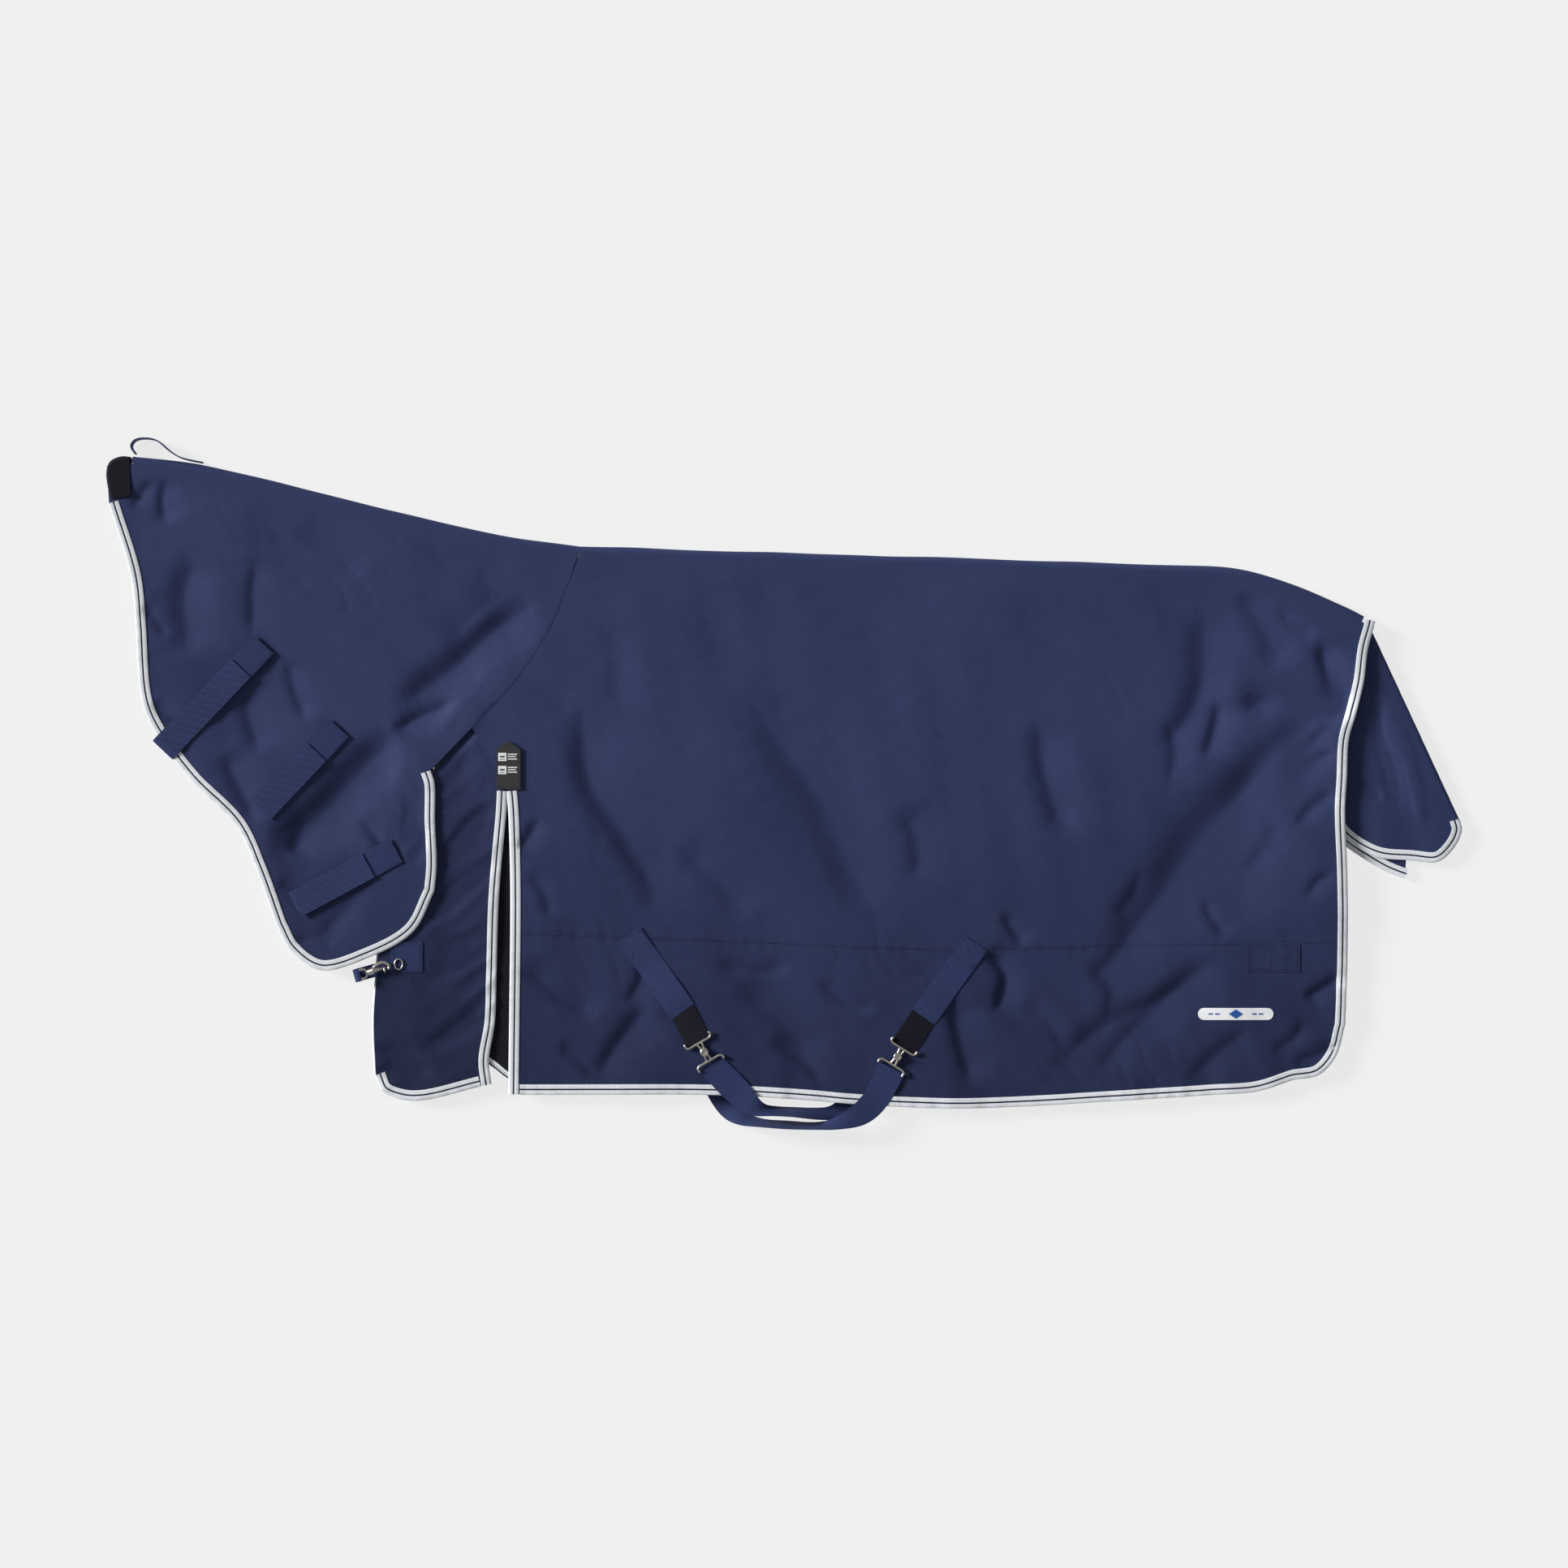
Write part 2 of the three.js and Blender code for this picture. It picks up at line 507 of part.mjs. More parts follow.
function addChestClosure() {
  const box = (name, at, size, low, colour) => {
    const solid = new THREE.BoxGeometry(size[0], size[1], tapeThick);
    add(name, solid.translate(at[0], at[1], low + tapeThick / 2), colour);
  };
  const chestTop = upperLayer(base.nearChest) + clothThick;
  box('near_chest_patch', [-691.5, -317], [58, 55], chestTop + gap, finish.webbing);
  const place = (solid) => solid.rotateZ(snap.turn).translate(...snap.eye);
  const tabHalf = 12;
  const tabPath = [[52, -16.8], [20, -16.8], [-10, -16.6], [-19, -12], [-21, 0],
    [-17, 8.5], [-6, 9.4], [3, 8.4]];
  const tabLine = curve(tabPath, 16);
  const tabSide = [...offset(tabLine, webThick / 2), ...offset(tabLine, -webThick / 2).toReversed()];
  const tab = plate(tabSide, -tabHalf, 2 * tabHalf).rotateX(Math.PI / 2);
  add('chest_tab', place(tab), finish.webbing);
  const eyeRing = new THREE.TorusGeometry(8.5, 1.9, 8, 18).translate(-6, 0, 0);
  const stem = turned([[1, 0], [1, 2], [10, 2], [10, 3.6], [12, 3.6], [12, 0]], 12);
  add('chest_snap_eye', place(join(eyeRing, stem)), finish.metal);
  // barrel round the stem's head, then the hook frame that carries the bolt
  const barrel = turned([[4, 2.6], [4, 4.6], [9, 5.6], [15, 5.6], [19, 4.2], [27, 3.6],
    [27, 2.3], [13, 2.3], [13, 4.1], [9, 4.1], [9, 2.6], [4, 2.6]], 16);
  const hook = rod([[15, 4.8, 0], [20, 7.6, 0], [28, 10.2, 0], [38, 9.6, 0], [44.5, 3.5, 0],
    [44, -2, 0], [41.5, -3.6, 0]], 2, 16, 8);
  add('chest_snap_body', place(join(barrel, hook)), finish.metal);
  const boltShape = turned([[21.5, 0], [21.5, 2], [38.6, 2], [38.6, 0]], 12);
  const thumb = rod([[35.3, 0, 0], [35.3, -4, 1.5], [35.3, -8.5, 2]], 1.6, 4, 8);
  add('chest_snap_bolt', place(join(boltShape, thumb)), finish.metal);
  const springShape = turned([[13.4, 1.1], [13.4, 1.9], [21.1, 1.9], [21.1, 1.1],
    [13.4, 1.1]], 12);
  add('chest_snap_spring', place(springShape), finish.metal);
  const ring = [];
  for (let k = 0; k < 10; k++) {
    const turn = 2 * Math.PI * k / 10;
    ring.push([7.5 * Math.cos(turn), 9.5 * Math.sin(turn), 0]);
  }
  const wire = rod(ring, 1.5, 20, 8, true);
  add('near_chest_ring', wire.translate(-706, -330, chestTop + tapeThick + 2 * gap + 1.5),
    finish.metal);
}

// Leg-strap rings hang from tabs inside, behind the near patch and its far twin.
function addLegFittings() {
  const dRing = (z) => {
    const outline = [[-22, 12], [22, 12], [25, 6], [19, -9], [7, -16], [-7, -16], [-19, -9],
      [-25, 6]];
    const wire = rod(outline.map(([x, y]) => [x, y, 0]), wireRound, 28, 8, true);
    return wire.translate(896, -318, z);
  };
  const patch = new THREE.BoxGeometry(98, 54, tapeThick);
  add('near_leg_patch', patch.translate(896, -318, patchLow + tapeThick / 2), finish.webbing);
  add('near_leg_ring', dRing(19.5), finish.metal);
  add('far_leg_ring', dRing(9.5), finish.metal);
}

function addMarks() {
  const label = [[-526, -10], [-482, -10], [-482, 64], [-504, 79], [-526, 64]];
  add('shoulder_label', plate(label, overBinding, 1.8), finish.rubber);
  const half = 11;
  const round = (x, from) => Array.from({ length: 7 }, (unused, k) => {
    const turn = from + Math.PI * k / 6;
    return [x + half * Math.cos(turn), -421 + half * Math.sin(turn)];
  });
  const pill = [...round(885, -Math.PI / 2), ...round(769, Math.PI / 2)];
  add('flank_badge', plate(pill, patchLow, tapeThick), finish.badge);
}

addPanels();
addBindings();
addGussets();
addFolds();
addPoll();
addTailFlap();
addNeckStraps();
addBellyStraps();
addCrossStraps();
addChestClosure();
addLegFittings();
addMarks();

export default rug;
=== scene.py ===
import math
import bpy
import numpy as np
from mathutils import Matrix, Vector, geometry


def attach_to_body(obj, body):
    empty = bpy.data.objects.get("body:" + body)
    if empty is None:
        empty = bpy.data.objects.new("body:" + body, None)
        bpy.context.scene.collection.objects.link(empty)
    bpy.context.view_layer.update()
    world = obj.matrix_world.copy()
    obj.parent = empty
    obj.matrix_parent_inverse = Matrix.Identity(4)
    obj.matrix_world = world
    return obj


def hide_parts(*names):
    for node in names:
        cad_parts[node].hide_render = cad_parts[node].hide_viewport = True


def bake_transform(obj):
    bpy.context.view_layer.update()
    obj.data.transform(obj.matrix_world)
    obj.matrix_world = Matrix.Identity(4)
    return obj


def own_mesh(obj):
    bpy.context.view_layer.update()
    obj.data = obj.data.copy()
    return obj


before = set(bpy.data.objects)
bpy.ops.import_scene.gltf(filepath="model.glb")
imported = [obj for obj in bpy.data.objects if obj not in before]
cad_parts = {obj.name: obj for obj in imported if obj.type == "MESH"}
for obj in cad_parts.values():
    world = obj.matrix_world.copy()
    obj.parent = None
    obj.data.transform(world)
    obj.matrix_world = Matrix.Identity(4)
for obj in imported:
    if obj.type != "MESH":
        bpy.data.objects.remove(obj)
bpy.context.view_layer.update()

# A turnout rug with its neck cover, folded in half along the back and laid flat on its far side.
# Metres, +X towards the tail, +Y towards the back, +Z up. Outlines below are in millimetres.
mm = 0.001
scene = bpy.context.scene

level = {                # heights of the layers, as the fixed parts have them, in mm
    "nearTop": 26.1,     # outside of the near shell
    "nearLining": 24.8,
    "nearTape": 22.6,    # underside of the near bindings
    "chestTop": 21.1,
    "chestLining": 19.8,
    "chestTape": 17.6,
    "farShell": 3.4,
    "farLining": 4.7,
    "farTape": 1.2,
    "farChest": 8.4,
    "farChestTape": 6.2,
    "nearGusset": 15.9,
    "farGusset": 12.3,
    "gussetTape": 13.7,
    "tapeHeight": 4.7,   # a binding round two layers of cloth
    "oneLayerTape": 3.4, # a binding round one layer
}

rugLines = {
    "crest": [[-1200, 600], [-1073, 586], [-804, 522], [-536, 459], [-376, 436]],
    "spine": [[-374, 436], [-98, 427], [645, 403], [851, 391], [1022, 327], [1058, 309]],
    "neckFront": [[-1236, 514], [-1195, 379], [-1186, 292], [-1174, 152], [-1149, 94],
                  [-1087, 10], [-1003, -75], [-966, -154], [-929, -258]],
    "neckToe": [[-929, -258], [-904, -304], [-849, -340], [-764, -318], [-680, -270],
                [-641, -196]],
    "neckFlap": [[-641, -196], [-637, -150], [-640, -68], [-641, 3], [-648, 25]],
    "neckSeam": [[-648, 25], [-626, 47], [-556, 120], [-496, 184], [-430, 285], [-394, 370]],
    "chestFront": [[-600, 82], [-668, -20], [-712, -140], [-738, -260], [-747, -357],
                   [-752, -440], [-748, -534]],
    "chestHem": [[-748, -534], [-735, -562], [-700, -577], [-660, -578], [-556, -553]],
    "slitFront": [[-537, -550], [-542, -508], [-531, -437], [-528, -348], [-523, -199],
                  [-510, -50], [-508, -13]],
    "slitRear": [[-507, -13], [-504, -50], [-500, -199], [-503, -496], [-504, -568]],
    "hem": [[-484, -568], [-113, -569], [34, -577], [138, -586], [337, -593], [645, -577],
            [787, -568], [866, -562], [933, -541]],
    "hemCorner": [[933, -541], [980, -532], [1012, -496], [1027, -442]],
    "rear": [[1027, -442], [1031, -321], [1030, -169], [1026, -50], [1029, 9], [1033, 83],
             [1046, 128], [1060, 187], [1068, 247], [1079, 287]],
    "bodySeam": [[-498, -274], [-132, -287], [294, -303], [645, -296], [1029, -290]],
    "tailNear": [[1001, -64], [1029, -99], [1086, -132], [1150, -139], [1200, -141],
                 [1231, -112], [1242, -84], [1238, -64]],
    "tailFar": [[1001, -87], [1029, -112], [1069, -139], [1106, -160], [1139, -173]],
    "gussetHem": [[-560, -500], [-536, -517], [-504, -541], [-470, -548]],
}


# Lines, outlines and heights

def lengths(line):
    # length passed at each point of a line
    gaps = np.linalg.norm(np.diff(line, axis=0), axis=1)
    return np.concatenate([[0], np.cumsum(gaps)])


def evenly(line, step):
    along = lengths(line)
    count = max(2, int(round(along[-1] / step)) + 1)
    at = np.linspace(0, along[-1], count)
    return np.stack([np.interp(at, along, line[:, k]) for k in range(line.shape[1])], axis=1)


def smoothLine(points, step):
    # a smooth curve through points in mm, cut into equal steps, in metres
    given = np.array(points, float) * mm
    knots = np.vstack([2 * given[0] - given[1], given, 2 * given[-1] - given[-2]])
    fine = []
    for a, b, c, d in zip(knots, knots[1:], knots[2:], knots[3:]):
        ta, tb = 0.0, np.linalg.norm(b - a) ** 0.5
        tc = tb + np.linalg.norm(c - b) ** 0.5
        td = tc + np.linalg.norm(d - c) ** 0.5
        t = np.linspace(tb, tc, 60, endpoint=False)[:, None]
        ab = (tb - t) / (tb - ta) * a + (t - ta) / (tb - ta) * b
        bc = (tc - t) / (tc - tb) * b + (t - tb) / (tc - tb) * c
        cd = (td - t) / (td - tc) * c + (t - tc) / (td - tc) * d
        abc = (tc - t) / (tc - ta) * ab + (t - ta) / (tc - ta) * bc
        bcd = (td - t) / (td - tb) * bc + (t - tb) / (td - tb) * cd
        fine.append((tc - t) / (tc - tb) * abc + (t - tb) / (tc - tb) * bcd)
    return evenly(np.vstack(fine + [given[-1:]]), step)


def joined(*lines):
    kept = [lines[0]]
    for line in lines[1:]:
        kept.append(line[1:] if np.linalg.norm(line[0] - kept[-1][-1]) < 1e-4 else line)
    return np.vstack(kept)


def leftOf(line):
    run = np.gradient(line[:, :2], axis=0)
    run /= np.linalg.norm(run, axis=1)[:, None]
    return np.stack([-run[:, 1], run[:, 0]], axis=1)


def shifted(line, distance):
    return line + leftOf(line) * distance


def beside(line, places):
    # distance from a line, its left side positive, and the share of the line passed
    run = np.gradient(line, axis=0)
    away, share = np.zeros(len(places)), np.zeros(len(places))
    for start in range(0, len(places), 3000):
        part = places[start:start + 3000]
        reach = np.linalg.norm(part[:, None] - line[None], axis=2)
        nearest = reach.argmin(1)
        off = part - line[nearest]
        side = run[nearest, 0] * off[:, 1] - run[nearest, 1] * off[:, 0]
        away[start:start + 3000] = np.copysign(reach.min(1), side)
        share[start:start + 3000] = nearest / (len(line) - 1)
    return away, share


def eased(value):
    value = np.clip(value, 0, 1)
    return value * value * (3 - 2 * value)


def ripple(places, size, seed, turn=0.0, spread=2 * math.pi):
    # soft uneven waves, about one high; size is the usual distance between crests
    random = np.random.RandomState(seed)
    total = np.zeros(len(places))
    for wave in range(14):
        angle = turn + spread * (random.rand() - 0.5)
        pitch = size * mm * (0.6 + 0.9 * random.rand())
        run = places[:, 0] * math.cos(angle) + places[:, 1] * math.sin(angle)
        total += np.sin(run * 2 * math.pi / pitch + 2 * math.pi * random.rand())
    return total / 2.6


foldShape = {"height": 2.0, "width": 0.72, "keenest": 0.3, "reach": 3.2, "ends": 0.28,
             "blunt": 2, "decay": 1.3}


def foldRise(places, folds):
    # height in metres of creases: path, height, width on its left and on its right, sharpness
    shape = foldShape
    rise = np.zeros(len(places))
    for path, height, left, right, sharp in folds:
        line = smoothLine(path, 4 * mm)
        reach = shape["reach"] * max(left, right) * mm
        close = np.all((places > line.min(0) - reach) & (places < line.max(0) + reach), axis=1)
        if not close.any():
            continue
        away, share = beside(line, places[close])
        width = shape["width"] * np.where(away > 0, left, right) * mm
        keen = shape["keenest"] + (1 - shape["keenest"]) * sharp
        blunt = shape["blunt"] * mm
        far = (np.sqrt(away ** 2 + blunt ** 2) - blunt) / width
        soft = np.exp(-far ** 2)
        crisp = np.exp(-shape["decay"] * far)
        fade = eased(np.minimum(share, 1 - share) / shape["ends"])
        full = shape["height"] * height * mm
        rise[close] += full * fade * (keen * crisp + (1 - keen) * soft)
    return rise


def puckers(places, edge, pitch, height, reach, seed):
    # small waves that run in from a sewn edge
    away, share = beside(edge, places)
    along = share * np.linalg.norm(np.diff(edge, axis=0), axis=1).sum() / mm
    drift = 2.1 * np.sin(along / (2.7 * pitch) + seed) + 1.3 * np.sin(along / (1.1 * pitch))
    wave = np.sin(along * 2 * math.pi / pitch + drift)
    strength = 0.55 + 0.45 * np.sin(along / (1.9 * pitch) + 2 * seed)
    return height * mm * wave * strength * np.exp(-np.abs(away) / (reach * mm))


line = {name: smoothLine(points, 5 * mm) for name, points in rugLines.items()}
foldDepth = 12 * mm
crestInner = line["crest"] - [0, foldDepth]
spineInner = line["spine"] - [0, foldDepth]
neckEdge = joined(line["neckFront"], line["neckToe"], line["neckFlap"])
rearEdge = joined(line["hemCorner"], line["rear"])
hemEdge = joined(line["hem"], line["hemCorner"])
seamLine = line["bodySeam"]
topEdge = joined(crestInner, spineInner)

# How the near side lies: each crease is path, height, left width, right width, sharpness
nearFolds = [
    # the neck
    ([[-1128, 573], [-1139, 516], [-1130, 470]], -3.5, 44, 14, 0.7),
    ([[-1196, 500], [-1170, 540], [-1140, 566]], -2.4, 12, 26, 0.5),
    ([[-1075, 430], [-1099, 330], [-1082, 225]], -4.5, 60, 34, 0.1),
    ([[-965, 420], [-973, 350], [-971, 265]], -2.2, 40, 14, 0.5),
    ([[-440, 335], [-484, 311], [-547, 266], [-600, 215], [-660, 172], [-720, 140]],
     -8.5, 70, 36, 0.3),
    ([[-590, 160], [-625, 140], [-667, 123], [-722, 92]], -5.0, 34, 16, 0.8),
    ([[-700, 100], [-745, 55], [-790, 8], [-838, -45], [-895, -84], [-950, -84]],
     -11.0, 75, 36, 0.3),
    ([[-880, -60], [-886, -95], [-905, -130]], -4.0, 30, 16, 0.3),
    ([[-911, 235], [-894, 163], [-868, 110]], -2.8, 40, 14, 0.5),
    ([[-1000, 190], [-975, 106], [-955, 50]], -3.2, 44, 18, 0.4),
    ([[-700, 20], [-684, -40], [-688, -110]], -2.6, 36, 14, 0.4),
    ([[-1030, 60], [-985, -30], [-960, -80]], -3.2, 44, 20, 0.4),
    ([[-745, -190], [-800, -235], [-860, -290]], -2.4, 40, 20, 0.3),
    ([[-513, 158], [-545, 100], [-600, 40]], -3.4, 26, 14, 0.6),
    ([[-1178, 330], [-1150, 300], [-1128, 262]], -1.8, 24, 10, 0.6),
    ([[-1160, 150], [-1120, 120], [-1096, 84]], -2.0, 22, 10, 0.6),
    ([[-930, -180], [-890, -200], [-862, -232]], -2.2, 22, 10, 0.6),
    ([[-900, -290], [-860, -285], [-820, -300]], -1.6, 18, 8, 0.6),
    ([[-780, -60], [-740, -110], [-735, -160]], -2.6, 30, 12, 0.5),
    ([[-690, -150], [-662, -120], [-655, -70]], -1.6, 16, 8, 0.6),
    ([[-620, 250], [-560, 320], [-500, 352]], -1.8, 46, 22, 0.3),
    ([[-900, 470], [-820, 420], [-760, 380]], -1.4, 50, 26, 0.2),
    # the back
    ([[-372, 160], [-355, 3], [-291, -99], [-246, -177], [-236, -265]], -6.5, 85, 30, 0.3),
    ([[-90, 190], [-21, 94], [50, 0], [92, -90], [140, -196], [225, -272]],
     -5.0, 110, 46, 0.1),
    ([[464, 130], [482, 3], [528, -110]], -4.0, 70, 28, 0.3),
    ([[770, 340], [764, 172], [730, 105], [680, 50]], -5.0, 70, 34, 0.2),
    ([[830, 372], [870, 300], [920, 205]], -3.6, 60, 30, 0.2),
    ([[980, 268], [996, 210], [1032, 118]], -6.5, 34, 18, 0.7),
    ([[1052, 124], [978, 136], [902, 147], [825, 138]], -8.5, 30, 60, 0.9),
    ([[800, 160], [792, 110], [770, 40]], -4.5, 50, 16, 0.5),
    ([[1012, 142], [973, 122], [902, 52], [836, -20], [760, -100], [700, -190], [625, -290],
      [560, -380]], -12.0, 120, 52, 0.75),
    ([[1018, 66], [975, 44], [925, 10]], -2.4, 20, 9, 0.8),
    ([[1044, 120], [1000, 128], [940, 140], [880, 146], [812, 158]], -2.2, 9, 30, 0.9),
    ([[1026, 108], [985, 92], [945, 52], [905, 12], [868, -28]], -2.2, 34, 12, 0.9),
    ([[1036, 170], [1016, 150], [1006, 128]], -1.6, 14, 8, 0.9),
    ([[1012, -10], [970, -40], [935, -80]], -2.6, 26, 12, 0.6),
    ([[768, -205], [784, -245], [815, -285]], -3.0, 24, 10, 0.8),
    ([[398, -235], [420, -268], [444, -300]], -3.0, 24, 10, 0.7),
    ([[-450, -60], [-470, -100], [-492, -120]], -2.6, 26, 10, 0.5),
    ([[-200, -110], [-124, -177], [-59, -250]], -3.0, 60, 26, 0.2),
    ([[905, 330], [932, 290], [975, 262]], -1.8, 26, 12, 0.5),
    ([[700, 120], [716, 60], [705, -10]], -2.0, 34, 14, 0.4),
    ([[905, -60], [880, -120], [836, -170]], -2.2, 40, 18, 0.4),
    ([[1010, -160], [975, -180], [955, -215]], -2.2, 22, 10, 0.6),
    ([[655, -150], [640, -205], [600, -250]], -2.2, 36, 16, 0.4),
    ([[-470, -160], [-440, -200], [-425, -250]], -1.8, 26, 12, 0.5),
    ([[-330, 300], [-300, 220], [-310, 130]], -1.4, 60, 30, 0.2),
    ([[215, -40], [246, -112], [240, -190]], -2.8, 60, 24, 0.3),
    # the skirt
    ([[820, -296], [690, -395], [580, -450], [470, -548]], -4.5, 70, 26, 0.3),
    ([[745, -360], [654, -437], [560, -545]], -3.5, 60, 22, 0.4),
    ([[1026, -350], [990, -372], [950, -396]], -3.8, 28, 12, 0.7),
    ([[1022, -478], [975, -498], [930, -512]], -3.0, 26, 14, 0.5),
    ([[365, -300], [404, -350], [388, -430]], -5.0, 40, 14, 0.6),
    ([[310, -380], [318, -450], [350, -560]], -4.0, 60, 18, 0.3),
    ([[-350, -558], [-306, -480], [-242, -400]], -4.2, 22, 60, 0.3),
    ([[-480, -320], [-420, -380], [-330, -430]], -3.0, 50, 22, 0.2),
    ([[-250, -300], [-262, -360], [-290, -410]], -2.8, 40, 14, 0.4),
    ([[-90, -360], [0, -440], [60, -530]], -3.4, 90, 34, 0.1),
    ([[560, -320], [600, -380], [590, -440]], -2.8, 60, 20, 0.3),
    ([[860, -450], [800, -490], [740, -550]], -2.8, 50, 20, 0.3),
    ([[-130, -330], [-60, -345], [20, -335]], -2.0, 22, 14, 0.5),
    ([[60, -350], [110, -400], [180, -420]], -2.2, 30, 14, 0.5),
    ([[-420, -480], [-380, -500], [-340, -545]], -2.0, 26, 12, 0.5),
    ([[430, -400], [480, -430], [520, -500]], -2.2, 36, 16, 0.4),
    ([[960, -430], [930, -470], [890, -490]], -1.8, 24, 12, 0.5),
    ([[-30, -470], [30, -500], [80, -560]], -2.4, 34, 16, 0.4),
]
chestFolds = [
    ([[-508, 165], [-559, 67], [-600, 20]], -3.0, 20, 12, 0.6),
    ([[-525, -30], [-587, -92], [-640, -170]], -4.0, 34, 16, 0.5),
    ([[-530, -135], [-610, -201], [-660, -260]], -3.8, 34, 16, 0.5),
    ([[-570, -270], [-640, -335], [-690, -375]], -2.8, 34, 18, 0.4),
    ([[-545, -402], [-600, -450], [-670, -490]], -3.2, 36, 20, 0.4),
    ([[-735, -480], [-690, -520], [-640, -530]], -2.0, 30, 16, 0.3),
]
# x, y, radius, lowest and highest rise in mm where the cloth has to stay calm
calmSpots = [
    (896, -318, 75, -1.4, 2.5), (-150, -480, 90, -3, 0.8), (205, -495, 90, -3, 0.8),
    (-85, -555, 75, -2, 0.8), (150, -565, 75, -2, 0.8), (-504, 30, 90, -1.2, 0.8),
    (-690, -250, 110, -1.2, 3), (-640, -120, 90, -1.2, 3), (-630, 0, 80, -1.2, 3),
    (-560, 90, 70, -1.2, 3), (-500, 160, 60, -1.2, 3), (1030, 100, 60, -5, 4),
    (1020, -60, 60, -5, 4),
]


def calmed(places, rise, spots):
    for x, y, radius, low, high in spots:
        apart = np.linalg.norm(places - np.array([x, y]) * mm, axis=1) / (radius * mm)
        hold = 1 - eased((apart - 0.6) / 0.7)
        rise = rise + (np.clip(rise, low * mm, high * mm) - rise) * hold
    return rise


# broad waves over the near side: height, then what ripple asks for after the places
nearWaves = [(1.9, 420, 3), (0.5, 150, 11, 0.7, 1.6), (0.10, 46, 21)]
# small waves beside the sewn edges: edge, distance between crests, height, reach, seed
nearPuckers = [
    (hemEdge, 34, 0.75, 22, 1.0), (hemEdge, 71, 0.9, 45, 2.0), (line["rear"], 31, 0.7, 20, 3.0),
    (line["slitRear"], 27, 0.6, 18, 4.0), (neckEdge, 33, 0.6, 16, 5.0),
    (seamLine, 26, 0.32, 14, 6.0),
]
nearLimits = {
    "crumple": 0.9,              # depth of the faint crumples that run down towards the front
    "hemCrumple": 0.7,           # height of the waves near the hem
    "foldCalm": 55,              # how far from the folded edge the cloth is flatter
    "deepest": 17, "highest": 8,
    "overTail": 6,               # how much higher the cloth lies over the tail flap
    "deepestOverTail": 5.2,
}


def tailCover(places):
    # how fully the tail flap, which swings in under the rug, may lie under each place
    cover = eased((places[:, 0] - 0.83) / 0.09) * eased((places[:, 1] + 0.30) / 0.08)
    above = eased((places[:, 1] - 0.16) / 0.08) * eased((1.02 - places[:, 0]) / 0.06)
    return cover * (1 - above)


def nearRise(places):
    limits = nearLimits
    top = np.abs(beside(topEdge, places)[0])
    rise = foldRise(places, nearFolds)
    for height, *wave in nearWaves:
        rise += height * mm * ripple(places, *wave)
    patches = np.clip(ripple(places, 300, 17), 0, 1)
    crumples = np.exp(-4 * np.abs(ripple(places, 120, 12, 0.75, 0.9)))
    rise -= limits["crumple"] * mm * patches * crumples
    lower = eased((-0.22 - places[:, 1]) / 0.25)
    rise += limits["hemCrumple"] * mm * lower * ripple(places, 120, 31, 0.7, 1.0)
    rise *= eased(top / (limits["foldCalm"] * mm))
    for edge, *wave in nearPuckers:
        rise += puckers(places, edge, *wave)
    cover = tailCover(places)
    rise += limits["overTail"] * mm * cover * eased(top / (150 * mm))
    deepest = (limits["deepest"] - (limits["deepest"] - limits["deepestOverTail"]) * cover) * mm
    rise = np.where(rise < 0, deepest * np.tanh(rise / deepest), rise)
    rise = np.clip(rise, -limits["deepest"] * mm, limits["highest"] * mm)
    return calmed(places, rise, calmSpots)


def underRise(places, above, reach):
    # the lowest of the cloth above within reach, so that a lining never shows through it
    steps = np.array([[0, 0], [1, 0], [-1, 0], [0, 1], [0, -1]]) * reach * mm
    return np.min([above(places + step) for step in steps], axis=0)


bodyFront = evenly(np.array([[-507, -13], [-573.5, 101.5]]) * mm, 4 * mm)


def nearLiningRise(places):
    return underRise(places, nearRise, 7)


def chestLiningRise(places):
    return underRise(places, chestRise, 6)


chestLimits = {"lowest": 4, "highest": 2.2, "underNeck": (3, 0.8), "reach": 60, "seam": 26,
               "belowTop": 0.4}


def chestRise(places):
    limits = chestLimits
    rise = foldRise(places, chestFolds)
    rise += 0.9 * mm * ripple(places, 160, 41)
    rise -= 0.8 * mm * np.abs(ripple(places, 90, 42, 2.2, 1.5)) - 0.4 * mm
    rise += puckers(places, line["slitFront"], 27, 0.55, 16, 1.5)
    rise += puckers(places, line["chestHem"], 30, 0.6, 18, 2.5)
    rise = np.clip(rise, -limits["lowest"] * mm, limits["highest"] * mm)
    under = eased((places[:, 1] + 0.36) / 0.05)       # flatter where the neck lies on it
    low, high = limits["underNeck"]
    rise = rise + (np.clip(rise, -low * mm, high * mm) - rise) * under
    rise = calmed(places, rise, [(-691, -317, 60, -0.5, 0.6)])
    # above the slit it climbs to meet the body's edge
    step = (level["nearTop"] - level["chestTop"] - limits["belowTop"]) * mm
    climb = eased(1 - np.abs(beside(bodyFront, places)[0]) / (limits["reach"] * mm))
    climb *= eased(np.abs(beside(line["neckSeam"], places)[0]) / (limits["seam"] * mm))
    climb *= eased((places[:, 0] + 0.632) / 0.03)
    return rise + (step + nearRise(places) - rise) * climb


def farRise(places):
    return 0.35 * mm * ripple(places, 240, 51) + 0.15 * mm * ripple(places, 60, 52)


def noRise(places):
    return np.zeros(len(places))


# Meshes

